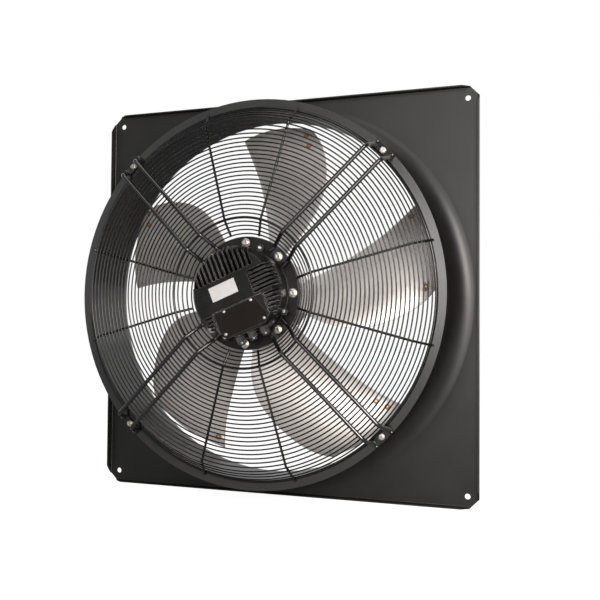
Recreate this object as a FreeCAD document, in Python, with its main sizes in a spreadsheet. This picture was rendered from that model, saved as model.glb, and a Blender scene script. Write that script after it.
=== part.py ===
import FreeCAD, Part
import math
import os
import Sketcher
from types import SimpleNamespace
from FreeCAD import Placement, Rotation, Vector

# Axial wall fan: a square wall ring with a full nozzle, a welded wire guard whose
# double-rod arms carry an external-rotor motor, and a five-blade impeller.
# Each piece is drawn with the fan axis as Z, depth growing towards the motor side,
# and its placement then turns that axis to -Y, with +Z up. The origin is the centre
# of the corner-hole pattern on the mounting face. Lengths are in millimetres.

SIZES = {
    # wall ring
    "sheet_thickness": 3.0,
    "nozzle_radius": 465.0,
    "inlet_radius": 57.0,
    "plate_border": 13.0,
    "corner_cut": 25.0,
    "hole_inset": 30.0,
    "hole_diameter": 14.5,
    "fold_depth": 22.0,
    "fold_radius": 6.0,
    "fold_taper": 20.0,
    "nozzle_depth": 215.0,
    "rim_width": 23.5,
    "rim_bend": 4.5,
    # welded guard
    "ring_wire": 3.6,
    "hoop_wire": 6.5,
    "spoke_wire": 6.0,
    "inner_ring_gap": 7.0,
    "inner_ring_lift": 2.5,
    "crown_width": 44.0,
    "crown_lift": 29.5,
    "shoulder_inset": 31.0,
    "shoulder_lift": 46.0,
    "hoop_offset": 1.0,
    "spoke_bend": 12.0,
    "bend_relief": 0.75,
    "weld_gap": 0.02,
    "inner_ring_count": 4,
    "field_ring_count": 24,
    "outer_ring_count": 4,
    # support arms and their feet
    "arm_rod": 10.0,
    "arm_spread": 50.0,
    "arm_bend": 14.0,
    "arm_drop": 6.0,
    "tab_thickness": 5.0,
    "tab_weld": 1.0,
    "foot_bolt_offset": 12.5,
    "foot_bolt_shank": 8.0,
    "foot_bolt_head": 13.0,
    "foot_head_height": 5.5,
    "foot_collar": 16.0,
    "foot_collar_height": 1.5,
    "foot_nut_height": 6.5,
    # stator flange and its bolts
    "motor_advance": 35.0,
    "flange_radius": 140.0,
    "flange_thickness": 10.0,
    "flange_edge_round": 2.0,
    "bolt_edge": 15.4,
    "bolt_shank": 10.0,
    "bolt_head": 16.0,
    "bolt_head_height": 6.4,
    "bolt_nut_height": 8.0,
    "bolt_clearance": 0.1,
    "washer_diameter": 22.0,
    "washer_thickness": 2.0,
    "lead_hole_radius": 7.0,
    # shaft and bearings
    "shaft_radius": 15.0,
    "bearing_section": 16.0,
    "bearing_width": 16.0,
    "bearing_spacing": 106.0,
    "ball_radius": 4.7,
    "ball_count": 9,
    "ball_clearance": 0.2,
    "race_land": 5.0,
    "cage_thickness": 2.4,
    "cage_width": 11.0,
    "press_gap": 0.02,
    "clip_thickness": 1.6,
    "clip_depth": 1.4,
    "clip_width": 4.5,
    "preload_thickness": 2.0,
    # stator and rotor, from the bush outwards
    "bush_wall": 17.0,
    "bush_shoulder": 4.0,
    "core_depth": 32.0,
    "core_length": 70.0,
    "core_setback": 50.0,
    "yoke_depth": 10.0,
    "tooth_width": 10.0,
    "shoe_depth": 6.0,
    "slot_mouth": 4.0,
    "tooth_count": 12,
    "coil_wall": 6.0,
    "coil_gap": 0.5,
    "air_gap": 1.0,
    "magnet_thickness": 5.0,
    "magnet_overhang": 5.0,
    "magnet_arc": 30.0,
    "magnet_count": 10,
    "can_wall": 6.0,
    "can_cap": 8.0,
    "can_length": 170.0,
    "can_round": 14.0,
    "rotor_gap": 8.0,
    "boss_wall": 13.0,
    "boss_length": 24.0,
    "boss_gap": 6.0,
    # impeller
    "hub_wall": 8.0,
    "hub_length": 144.0,
    "hub_setback": 40.0,
    "blade_count": 5,
    "blade_seat": 0.3,
    "blade_root_thickness": 8.0,
    "blade_tip_thickness": 5.0,
    "blade_edge_share": 0.36,
    "blade_camber": 0.05,
    "tip_gap": 15.0,
    "rivet_shank": 4.0,
    "rivet_head": 7.5,
    "rivet_head_height": 2.0,
    "rivet_gap": 0.5,
    # electronics housing
    "housing_tilt": 22.5,
    "housing_gap": 1.6,
    "housing_height": 78.0,
    "housing_wall": 8.0,
    "housing_roof": 43.0,
    "housing_slope": 17.0,
    "housing_slope_width": 11.0,
    "gasket_thickness": 1.0,
    "ear_radius": 8.0,
    "ear_height": 17.0,
    "ear_reach": 6.0,
    "housing_screw_shank": 5.0,
    "housing_screw_head": 9.0,
    "housing_screw_height": 5.0,
    "fin_depth": 35.0,
    "band_top": 42.0,
    "band_foot": 30.0,
    "long_fin_reach": 100.0,
    "long_fin_count": 14,
    "long_fin_pitch": 12.5,
    "long_fin_slot": 8.5,
    "side_fin_count": 6,
    "side_fin_pitch": 10.0,
    "side_fin_slot": 6.0,
    "side_fin_start": 50.0,
    # terminal chamber, cover and glands
    "cover_half_top": 46.0,
    "cover_half_foot": 66.0,
    "cover_corner": 18.0,
    "cover_lip": 4.0,
    "cover_inset": 2.0,
    "cover_thickness": 6.0,
    "cover_screw_shank": 4.0,
    "cover_screw_head": 7.6,
    "cover_screw_height": 2.6,
    "cover_screw_inset": 5.0,
    "cover_screw_edge": 9.0,
    "cover_screw_drop": 8.0,
    "chamber_depth": 30.0,
    "chamber_wall": 15.0,
    "gland_spacing": 33.0,
    "gland_count": 3,
    "gland_bore": 6.0,
    "gland_body": 10.0,
    "gland_collar": 11.0,
    "gland_cap": 12.0,
    "gland_reach": 4.0,
    "gland_depth": 26.0,
    "gland_pad_half": 48.0,
    "gland_pad_width": 26.0,
    "gland_recess": 10.0,
    # inside the housing and on its face
    "board_thickness": 2.0,
    "board_margin": 4.0,
    "post_radius": 5.0,
    "post_length": 14.0,
    "post_circle": 78.0,
    "capacitor_radius": 10.0,
    "capacitor_height": 14.0,
    "capacitor_circle": 52.0,
    "capacitor_count": 4,
    "terminal_height": 14.0,
    "terminal_gap": 4.0,
    "label_length": 74.0,
    "label_width": 38.5,
    "label_thickness": 0.6,
    "label_shift": 20.0,
    "label_rise": 32.0,
}

# Wall corners, arms and feet stand at odd multiples of this angle.
DIAGONAL = 45.0
SPOKE_OFFSET = 15.0
ARM_COUNT = 4
FULL_TURN = 360.0
HEX_CORNERS = 6
HEX_REACH = 1.0 / math.sqrt(3.0)

# Blade edges from root to tip: share of the span, angle and depth of the rear edge,
# angle and depth of the front edge. Angles are from the blade's own axis, in degrees,
# and depths are from the rear face of the hub.
BLADE_STATIONS = (
    (0.00, 16.0, 14.0, -29.0, 141.0),
    (0.26, 18.4, 5.0, -27.5, 135.0),
    (0.57, 21.6, -18.0, -21.5, 99.0),
    (0.70, 23.0, -22.0, -16.7, 75.0),
    (0.85, 24.8, -28.0, -10.5, 51.0),
    (1.00, 26.7, -42.0, -1.5, 25.0),
)
CHORD_STEPS = 6
FIRST_BLADE_ANGLE = 6.0
# Rivets near the tip corners, blade by blade: share of the span and share of the chord.
RIVET_PLACES = (
    ((0.91, 0.08), (0.90, 0.87)),
    ((0.94, 0.87), (0.87, 0.83)),
    ((0.96, 0.94), (0.89, 0.89), (0.92, 0.76)),
    ((0.93, 0.08),),
    ((0.905, 0.09), (0.82, 0.09)),
)

doc = FreeCAD.newDocument("AxialFan")
sheet = doc.addObject("Spreadsheet::Sheet", "Sizes")
for row, (alias, number) in enumerate(SIZES.items(), start=1):
    sheet.set("A%d" % row, alias)
    sheet.set("B%d" % row, str(number))
    sheet.setAlias("B%d" % row, alias)
doc.recompute()


class Size:
    """A number together with the sheet expression that gives it."""

    def __init__(self, value, text):
        self.value = float(value)
        self.text = text

    def combine(self, other, sign, value, swap=False):
        left, right = self.text, as_size(other).text
        if swap:
            left, right = right, left
        return Size(value, "(%s %s %s)" % (left, sign, right))

    def __add__(self, other):
        return self.combine(other, "+", self.value + as_size(other).value)

    def __sub__(self, other):
        return self.combine(other, "-", self.value - as_size(other).value)

    def __mul__(self, other):
        return self.combine(other, "*", self.value * as_size(other).value)

    def __truediv__(self, other):
        return self.combine(other, "/", self.value / as_size(other).value)

    def __rsub__(self, other):
        return self.combine(other, "-", as_size(other).value - self.value, swap=True)

    def __neg__(self):
        return self * -1

    __radd__ = __add__
    __rmul__ = __mul__

    def root(self):
        return Size(math.sqrt(self.value), "sqrt(%s)" % self.text)


def as_size(number):
    """Wrap a plain number so that it can be bound like a sheet size."""
    return number if isinstance(number, Size) else Size(number, repr(float(number)))


s = SimpleNamespace(**{alias: Size(sheet.get(alias), "Sizes.%s" % alias) for alias in SIZES})

# Sizes that several pieces share, worked out from the sheet.
plate_half = s.nozzle_radius + s.inlet_radius + s.plate_border
plate_flat = plate_half - s.fold_radius
hole_place = plate_half - s.hole_inset
rim_radius = s.nozzle_radius + s.rim_width
foot_circle = s.nozzle_radius + s.foot_bolt_offset
flange_front = s.nozzle_depth + s.motor_advance
flange_back = flange_front - s.flange_thickness
bolt_circle = s.flange_radius - s.bolt_edge
tab_front = flange_front + s.tab_thickness
bearing_radius = s.shaft_radius + s.bearing_section
bush_radius = bearing_radius + s.bush_wall
core_radius = bush_radius + s.core_depth
core_front = flange_back - s.core_setback
core_rear = core_front - s.core_length
magnet_inner = core_radius + s.air_gap
can_inner = magnet_inner + s.magnet_thickness
can_radius = can_inner + s.can_wall
can_front = flange_back - s.rotor_gap
can_rear = can_front - s.can_length
bush_rear = can_rear + s.boss_length + s.boss_gap
hub_radius = can_radius + s.hub_wall
hub_front = can_front - s.hub_setback
hub_rear = hub_front - s.hub_length
tip_radius = s.nozzle_radius - s.tip_gap
housing_radius = bolt_circle - s.washer_diameter / 2 - s.housing_gap
housing_base = flange_front + s.gasket_thickness
housing_top = housing_base + s.housing_height
cavity_radius = housing_radius - s.housing_wall
cavity_top = housing_top - s.housing_roof
cover_seat = housing_top - s.cover_thickness - s.gasket_thickness
cover_radius = housing_radius - s.cover_inset
ear_circle = housing_radius + s.ear_reach
gland_depth = housing_top - s.gland_depth
gland_face = housing_radius - s.gland_recess


def facing(turn=0.0):
    """Place a piece with its axis on -Y, turned about that axis by an angle."""
    upright = Rotation(Vector(1, 0, 0), 90)
    return Placement(Vector(), upright) * Placement(Vector(), Rotation(Vector(0, 0, 1), turn))


def new_body(label, turn=0.0):
    """Start a body that carries one sub-part."""
    body = doc.addObject("PartDesign::Body", label)
    body.Label = label
    body.AllowCompound = True
    body.Placement = facing(turn)
    return body


def origin_feature(body, role):
    """Find one of a body's own origin planes or axes."""
    for feature in body.Origin.OriginFeatures:
        if feature.Role == role:
            return feature
    raise ValueError("no origin feature called " + role)


def new_sketch(body, plane, lift=None):
    """Attach a sketch to a body's plane, lifted along the plane's normal."""
    sketch = body.newObject("Sketcher::SketchObject", body.Label + "_sketch")
    sketch.AttachmentSupport = (origin_feature(body, plane), [""])
    sketch.MapMode = "FlatFace"
    if lift is not None:
        sketch.setExpression("AttachmentOffset.Base.z", as_size(lift).text)
    return sketch


def bind(sketch, kind, place, size):
    """Add one dimension to a sketch and bind it to the sheet."""
    index = sketch.addConstraint(Sketcher.Constraint(kind, *place, size.value))
    sketch.setExpression("Constraints[%d]" % index, size.text)


def fix_point(sketch, geometry, end, x, y):
    """Hold one point of a sketch at bound coordinates."""
    for kind, axis, size in (("DistanceX", -2, as_size(x)), ("DistanceY", -1, as_size(y))):
        if size.value == 0.0:
            sketch.addConstraint(Sketcher.Constraint("PointOnObject", geometry, end, axis))
        else:
            bind(sketch, kind, (geometry, end), size)


def arc_between(start, end, radius):
    """Give the minor arc from start to end, anticlockwise for a positive radius."""
    chord = end - start
    sagging = math.sqrt(max(radius * radius - chord.Length ** 2 / 4, 0.0))
    side = Vector(-chord.y, chord.x, 0).normalize() * math.copysign(sagging, radius)
    centre = (start + end) * 0.5 + side
    first, last = (start, end) if radius > 0 else (end, start)
    angles = [math.atan2(p.y - centre.y, p.x - centre.x) for p in (first, last)]
    return Part.ArcOfCircle(Part.Circle(centre, Vector(0, 0, 1), abs(radius)), *angles)


def draw_outline(sketch, corners):
    """Draw a closed outline through bound corners.

    A corner is (x, y), or (x, y, radius) where an arc of that radius leaves it.
    """
    points = [Vector(as_size(c[0]).value, as_size(c[1]).value, 0) for c in corners]
    ends = []
    for index, corner in enumerate(corners):
        start, finish = points[index], points[(index + 1) % len(points)]
        if len(corner) == 3:
            radius = as_size(corner[2])
            geometry = sketch.addGeometry(arc_between(start, finish, radius.value), False)
            ends.append((geometry, 1, 2) if radius.value > 0 else (geometry, 2, 1))
            bind(sketch, "Radius", (geometry,), radius if radius.value > 0 else -radius)
        else:
            geometry = sketch.addGeometry(Part.LineSegment(start, finish), False)
            ends.append((geometry, 1, 2))
    for index, (geometry, start, _) in enumerate(ends):
        before, _, finish = ends[index - 1]
        sketch.addConstraint(Sketcher.Constraint("Coincident", before, finish, geometry, start))
        fix_point(sketch, geometry, start, *corners[index][:2])


def draw_circle(sketch, x, y, radius):
    """Draw a circle with a bound centre and radius."""
    centre = Vector(as_size(x).value, as_size(y).value, 0)
    radius = as_size(radius)
    geometry = sketch.addGeometry(Part.Circle(centre, Vector(0, 0, 1), radius.value), False)
    bind(sketch, "Radius", (geometry,), radius)
    fix_point(sketch, geometry, 3, x, y)


def draw_box(sketch, left, bottom, right, top):
    """Draw a rectangle between two bound corners."""
    draw_outline(sketch, [(left, bottom), (right, bottom), (right, top), (left, top)])


def draw_hexagon(sketch, x, y, flats):
    """Draw a hexagon by its width across flats."""
    reach = flats * HEX_REACH
    turns = [math.radians(FULL_TURN * i / HEX_CORNERS) for i in range(HEX_CORNERS)]
    draw_outline(sketch, [(x + reach * math.cos(t), y + reach * math.sin(t)) for t in turns])


def on_circle(radius, degrees):
    """Give bound coordinates on a circle about the axis."""
    turn = math.radians(degrees)
    cosine, sine = round(math.cos(turn), 9), round(math.sin(turn), 9)
    return (radius * cosine if cosine else 0.0, radius * sine if sine else 0.0)


def pad(body, sketch, length, symmetric=False):
    """Extrude a sketch along its normal."""
    feature = body.newObject("PartDesign::Pad", body.Label + "_pad")
    feature.Profile = sketch
    feature.setExpression("Length", as_size(length).text)
    if symmetric:
        feature.SideType = "Symmetric"
    return feature


def pocket(body, sketch, length):
    """Cut a sketch away from its plane, against the plane's normal."""
    feature = body.newObject("PartDesign::Pocket", body.Label + "_pocket")
    feature.Profile = sketch
    feature.setExpression("Length", as_size(length).text)
    return feature


def spin(body, corners):
    """Revolve an outline of (radius, depth) corners about the fan axis."""
    sketch = new_sketch(body, "XZ_Plane")
    draw_outline(sketch, corners)
    feature = body.newObject("PartDesign::Revolution", body.Label + "_turned")
    feature.Profile = sketch
    feature.ReferenceAxis = (sketch, ["V_Axis"])
    feature.Angle = FULL_TURN
    return feature


def repeat_round(body, features, count):
    """Repeat features evenly round the fan axis."""
    pattern = body.newObject("PartDesign::PolarPattern", body.Label + "_round")
    pattern.Originals = features
    pattern.Axis = (origin_feature(body, "Z_Axis"), [""])
    pattern.Angle = FULL_TURN
    pattern.setExpression("Occurrences", as_size(count).text)
    body.Tip = pattern
    return pattern


def repeat_along(body, features, axis, length, count):
    """Repeat features in a row along one of the body's axes."""
    pattern = body.newObject("PartDesign::LinearPattern", body.Label + "_row")
    pattern.Originals = features
    pattern.Direction = (origin_feature(body, axis), [""])
    pattern.setExpression("Length", as_size(length).text)
    pattern.setExpression("Occurrences", as_size(count).text)
    body.Tip = pattern
    return pattern


def turned_piece(label, corners, turn=0.0):
    """Make a sub-part that is one turned outline."""
    body = new_body(label, turn)
    spin(body, corners)
    return body


def layer(body, place, depth, length, width, bore=None, hexagonal=False):
    """Pad one round or hexagonal layer of a fastener."""
    sketch = new_sketch(body, "XY_Plane", depth)
    if hexagonal:
        draw_hexagon(sketch, *place, width)
    else:
        draw_circle(sketch, *place, width / 2)
    if bore is not None:
        draw_circle(sketch, *place, bore / 2)
    return pad(body, sketch, length)


def shape_piece(label, shape, turn=0.0):
    """Keep a shape worked out from the sheet as a sub-part."""
    feature = doc.addObject("Part::Feature", label)
    feature.Label = label
    feature.Shape = shape
    feature.Placement = facing(turn)
    return feature


def make_wall_ring():
    """Square plate with folded edges, drawn into a nozzle with an outward rim."""
    body = new_body("wall_ring")
    sheet_back = 0.0
    thickness = s.sheet_thickness
    outline = new_sketch(body, "XY_Plane")
    near = plate_half - s.corner_cut + s.fold_radius
    flat = plate_flat
    draw_outline(outline, [
        (flat, near), (near, flat), (-near, flat), (-flat, near),
        (-flat, -near), (-near, -flat), (near, -flat), (flat, -near),
    ])
    mouth_radius = s.nozzle_radius + s.inlet_radius
    draw_circle(outline, 0.0, 0.0, mouth_radius)
    for across, up in ((1, 1), (-1, 1), (-1, -1), (1, -1)):
        draw_circle(outline, hole_place * across, hole_place * up, s.hole_diameter / 2)
    pad(body, outline, thickness)

    outer_wall = s.nozzle_radius + thickness
    bend_start = s.nozzle_depth - s.rim_bend
    bend_end = s.nozzle_radius + s.rim_bend
    spin(body, [
        (mouth_radius, sheet_back, -s.inlet_radius),
        (s.nozzle_radius, s.inlet_radius),
        (s.nozzle_radius, bend_start, -s.rim_bend),
        (bend_end, s.nozzle_depth),
        (rim_radius, s.nozzle_depth),
        (rim_radius, s.nozzle_depth - thickness),
        (bend_end, s.nozzle_depth - thickness, s.rim_bend - thickness),
        (outer_wall, bend_start),
        (outer_wall, s.inlet_radius, s.inlet_radius - thickness),
        (mouth_radius, thickness),
    ])

    fold = new_sketch(body, "XZ_Plane")
    draw_outline(fold, [
        (flat, sheet_back, s.fold_radius),
        (plate_half, s.fold_radius),
        (plate_half - thickness, s.fold_radius, thickness - s.fold_radius),
        (flat, thickness),
    ])
    edge_half = plate_half - s.corner_cut
    folded = pad(body, fold, near * 2, symmetric=True)
    corners = new_sketch(body, "XY_Plane", s.fold_radius)
    for end in (1, -1):
        draw_outline(corners, [
            (plate_half + thickness, (edge_half - thickness) * end),
            (plate_half + thickness, (near + thickness) * end),
            (flat - thickness, (near + thickness) * end),
        ])
    trimmed = pocket(body, corners, s.fold_radius)
    upright = new_sketch(body, "YZ_Plane", plate_half - thickness)
    draw_outline(upright, [
        (-edge_half, s.fold_radius),
        (edge_half, s.fold_radius),
        (edge_half - s.fold_taper, s.fold_depth),
        (s.fold_taper - edge_half, s.fold_depth),
    ])
    raised = pad(body, upright, thickness)
    repeat_round(body, [folded, trimmed, raised], ARM_COUNT)

    holes = new_sketch(body, "XY_Plane", s.nozzle_depth)
    draw_circle(holes, *on_circle(foot_circle, DIAGONAL), s.foot_bolt_shank / 2 + s.bolt_clearance)
    repeat_round(body, [pocket(body, holes, thickness)], ARM_COUNT)
    return body


# The line of ring centres, as (radius, depth): inner end, crown, shoulder, rim end.
guard_line = (
    (s.flange_radius + s.inner_ring_gap, flange_front + s.inner_ring_lift),
    (s.flange_radius + s.crown_width, flange_front + s.crown_lift),
    (s.nozzle_radius - s.shoulder_inset, s.nozzle_depth + s.shoulder_lift),
    (s.nozzle_radius + s.hoop_offset, s.nozzle_depth + s.hoop_wire / 2),
)


def guard_normal(first):
    """Give the forward unit normal of one stretch of the guard line."""
    (r0, d0), (r1, d1) = guard_line[first], guard_line[first + 1]
    along = Vector(r1.value - r0.value, d1.value - d0.value, 0).normalize()
    return Vector(-along.y, along.x, 0)


def add_ring(radius, depth, wire):
    """Add one closed wire ring, bound to the sheet."""
    ring = doc.addObject("Part::Torus", "guard_wire")
    ring.setExpression("Radius1", radius.text)
    ring.setExpression("Radius2", (wire / 2).text)
    ring.setExpression("Placement.Base.z", depth.text)
    return ring


def gather(label, pieces):
    """Keep several solids as one node."""
    group = doc.addObject("Part::Compound", label)
    group.Label = label
    group.Links = pieces
    group.Placement = facing()
    return group


def make_guard_rings():
    """Thin rings of the guard, evenly spaced on each stretch of its line, in three groups."""
    inner, middle, outer = [], [], []
    stretches = (s.inner_ring_count, s.field_ring_count, s.outer_ring_count)
    for first, steps in enumerate(stretches):
        (r0, d0), (r1, d1) = guard_line[first], guard_line[first + 1]
        for step in range(0 if first == 0 else 1, round(steps.value)):
            share = as_size(step) / steps
            ring = add_ring(r0 + (r1 - r0) * share, d0 + (d1 - d0) * share, s.ring_wire)
            if first == 0:
                inner.append(ring)
            elif first == 1 and share.value <= 0.5:
                middle.append(ring)
            else:
                outer.append(ring)
    shoulder_radius, shoulder_depth = guard_line[2]
    outer.append(add_ring(shoulder_radius - s.bend_relief / 2, shoulder_depth - s.bend_relief, s.ring_wire))
    groups = (("guard_inner_rings", inner), ("guard_middle_rings", middle), ("guard_outer_rings", outer))
    return [gather(label, rings) for label, rings in groups]


def make_guard_hoops():
    """Two heavier rings: one at the crown and one on the nozzle rim."""
    setback = (s.hoop_wire - s.ring_wire) / 2
    crown_radius, crown_depth = guard_line[1]
    rim_hoop_radius, rim_hoop_depth = guard_line[3]
    lean = guard_normal(2)
    return gather("guard_hoops", [
        add_ring(crown_radius, crown_depth - setback - s.bend_relief, s.hoop_wire),
        add_ring(rim_hoop_radius - setback * lean.x, rim_hoop_depth - setback * lean.y, s.hoop_wire),
    ])


def crossing(point, direction, other_point, other_direction):
    """Intersect two lines in the (radius, depth) plane."""
    gap = other_point - point
    turn = direction.x * other_direction.y - direction.y * other_direction.x
    return point + direction * ((gap.x * other_direction.y - gap.y * other_direction.x) / turn)


def lifted_line(offset):
    """Move each stretch of the guard line forward by an offset; give points and directions."""
    lines = []
    for first in range(len(guard_line) - 1):
        normal = guard_normal(first)
        radius, depth = guard_line[first]
        start = Vector(radius.value, depth.value, 0) + normal * offset
        lines.append((start, Vector(normal.y, -normal.x, 0)))
    return lines


def rod_along(points, bend, diameter):
    """Bend a round rod along (radius, depth) points and give it as a solid."""
    corners = [Vector(p.x, 0, p.y) for p in points]
    edges = []
    start = corners[0]
    for before, corner, after in zip(corners, corners[1:], corners[2:]):
        back, ahead = (before - corner).normalize(), (after - corner).normalize()
        half = back.getAngle(ahead) / 2
        reach = bend / math.tan(half)
        middle = corner + (back + ahead).normalize() * (bend / math.sin(half) - bend)
        edges.append(Part.LineSegment(start, corner + back * reach).toShape())
        edges.append(Part.Arc(corner + back * reach, middle, corner + ahead * reach).toShape())
        start = corner + ahead * reach
    edges.append(Part.LineSegment(start, corners[-1]).toShape())
    direction = corners[1] - corners[0]
    section = Part.Wire([Part.makeCircle(diameter / 2, corners[0], direction)])
    return Part.Wire(edges).makePipeShell([section], True, False)


def make_guard_spokes():
    """Single radial wires in front of the rings, from the inner ring to the rim."""
    offset = (s.ring_wire.value + s.spoke_wire.value) / 2 + s.weld_gap.value
    inner, field, outer = lifted_line(offset)
    rim_contact = s.nozzle_depth.value + s.spoke_wire.value / 2 + s.weld_gap.value
    rim_line = (Vector(0, rim_contact, 0), Vector(1, 0, 0))
    points = [inner[0], crossing(*inner, *field), crossing(*field, *outer), crossing(*outer, *rim_line)]
    spoke = rod_along(points, s.spoke_bend.value, s.spoke_wire.value)
    axis = Vector(0, 0, 1)
    turns = [FULL_TURN * quarter / ARM_COUNT + side for quarter in range(ARM_COUNT)
             for side in (-SPOKE_OFFSET, SPOKE_OFFSET)]
    return shape_piece("guard_spokes", Part.makeCompound([spoke.rotated(Vector(), axis, t) for t in turns]))


def make_support_arm(label, turn):
    """Two bent rods with a welded tab at the motor flange and one at the rim."""
    rod, half_spread = s.arm_rod.value, s.arm_spread.value / 2
    inner_radius = guard_line[0][0].value
    side_rise = half_spread ** 2 / (2 * inner_radius)
    offset = (s.ring_wire.value + rod) / 2 + s.weld_gap.value
    steep = lifted_line(offset + side_rise)[0]
    field = lifted_line(offset)[1]
    flange_line = (Vector(0, flange_front.value + rod / 2, 0), Vector(1, 0, 0))
    rim_depth = s.nozzle_depth.value + rod / 2
    drop_radius = guard_line[3][0].value - s.arm_drop.value
    drop_line = (Vector(drop_radius, 0, 0), Vector(0, 1, 0))
    reach = math.sqrt(rim_radius.value ** 2 - (half_spread + rod / 2) ** 2)
    inner_end = bolt_circle.value - s.washer_diameter.value / 2 + s.weld_gap.value
    points = [
        Vector(inner_end, flange_line[0].y, 0),
        crossing(*flange_line, *steep),
        crossing(*steep, *field),
        crossing(*field, *drop_line),
        Vector(foot_circle.value, rim_depth, 0),
        Vector(reach, rim_depth, 0),
    ]
    bent = rod_along(points, s.arm_bend.value, rod)
    rods = [bent.translated(Vector(0, side * half_spread, 0)) for side in (-1, 1)]
    tab_half = half_spread - rod / 2 + s.tab_weld.value
    tab_size = s.tab_thickness.value
    hub_tab_end = s.flange_radius.value - s.flange_edge_round.value
    foot_start = foot_circle.value - s.foot_collar.value / 2 + s.weld_gap.value
    tabs = []
    for start, end, base in ((inner_end, hub_tab_end, flange_front), (foot_start, reach, s.nozzle_depth)):
        tabs.append(Part.makeBox(end - start, 2 * tab_half, tab_size, Vector(start, -tab_half, base.value)))
    clear = s.bolt_clearance.value
    for place, shank in ((bolt_circle, s.bolt_shank), (foot_circle, s.foot_bolt_shank)):
        through = 2 * flange_front.value
        drill = Part.makeCylinder(shank.value / 2 + clear, through, Vector(place.value, 0, 0))
        tabs = [tab.cut(drill) for tab in tabs]
    arm = rods[0].fuse(rods[1:] + tabs).removeSplitter()
    return shape_piece(label, arm, turn)


def make_foot_fasteners():
    """Collared bolts that hold the arm feet on the rim, and their nuts."""
    place = on_circle(foot_circle, DIAGONAL)
    seat = s.nozzle_depth + s.tab_thickness
    nut_base = s.nozzle_depth - s.sheet_thickness - s.foot_nut_height
    bolts = new_body("foot_bolts")
    shank = layer(bolts, place, nut_base, seat - nut_base, s.foot_bolt_shank)
    collar = layer(bolts, place, seat, s.foot_collar_height, s.foot_collar)
    head_base = seat + s.foot_collar_height
    head = layer(bolts, place, head_base, s.foot_head_height, s.foot_bolt_head, hexagonal=True)
    repeat_round(bolts, [shank, collar, head], ARM_COUNT)
    nuts = new_body("foot_nuts")
    bore = s.foot_bolt_shank + s.bolt_clearance * 2
    nut = layer(nuts, place, nut_base, s.foot_nut_height, s.foot_bolt_head, bore, hexagonal=True)
    repeat_round(nuts, [nut], ARM_COUNT)
    return [bolts, nuts]


def make_stator_flange():
    """Cast flange with the bearing bush that carries the stator."""
    body = new_body("stator_flange")
    seat = bearing_radius + s.press_gap
    bore = seat - s.bush_shoulder
    rear_stop = bush_rear + s.bearing_width
    front_stop = rear_stop + s.bearing_spacing - s.bearing_width - s.preload_thickness
    rounded = s.flange_radius - s.flange_edge_round
    spin(body, [
        (bore, rear_stop), (seat, rear_stop), (seat, bush_rear), (bush_radius, bush_rear),
        (bush_radius, flange_back), (s.flange_radius, flange_back),
        (s.flange_radius, flange_front - s.flange_edge_round, s.flange_edge_round),
        (rounded, flange_front), (seat, flange_front), (seat, front_stop), (bore, front_stop),
    ])
    drilled = new_sketch(body, "XY_Plane", flange_front)
    draw_circle(drilled, bolt_circle, 0.0, s.bolt_shank / 2 + s.bolt_clearance)
    repeat_round(body, [pocket(body, drilled, s.flange_thickness)], 2 * ARM_COUNT)
    tapped = new_sketch(body, "XY_Plane", flange_front)
    turn = DIAGONAL + s.housing_tilt.value
    draw_circle(tapped, *on_circle(ear_circle, turn), s.housing_screw_shank / 2 + s.bolt_clearance)
    repeat_round(body, [pocket(body, tapped, s.flange_thickness)], ARM_COUNT)
    lead = new_sketch(body, "XY_Plane", flange_front)
    draw_circle(lead, (bush_radius + core_radius) / 2, 0.0, s.lead_hole_radius)
    pocket(body, lead, s.flange_thickness)
    return body


def make_flange_fasteners():
    """Bolts and washers on the flange, longer where an arm tab lies under them, and nuts."""
    pieces = []
    nut_base = flange_back - s.bolt_nut_height
    bore = s.bolt_shank + s.bolt_clearance * 2
    for name, seat, turn in (("flange", flange_front, 0.0), ("arm", tab_front, DIAGONAL)):
        place = on_circle(bolt_circle, turn)
        head_base = seat + s.washer_thickness
        bolts = new_body(name + "_bolts")
        shank = layer(bolts, place, nut_base, head_base - nut_base, s.bolt_shank)
        head = layer(bolts, place, head_base, s.bolt_head_height, s.bolt_head, hexagonal=True)
        repeat_round(bolts, [shank, head], ARM_COUNT)
        washers = new_body(name + "_washers")
        washer = layer(washers, place, seat, s.washer_thickness, s.washer_diameter, bore)
        repeat_round(washers, [washer], ARM_COUNT)
        nuts = new_body(name + "_nuts")
        nut = layer(nuts, place, nut_base, s.bolt_nut_height, s.bolt_head, bore, hexagonal=True)
        repeat_round(nuts, [nut], ARM_COUNT)
        pieces += [bolts, washers, nuts]
    return pieces


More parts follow.
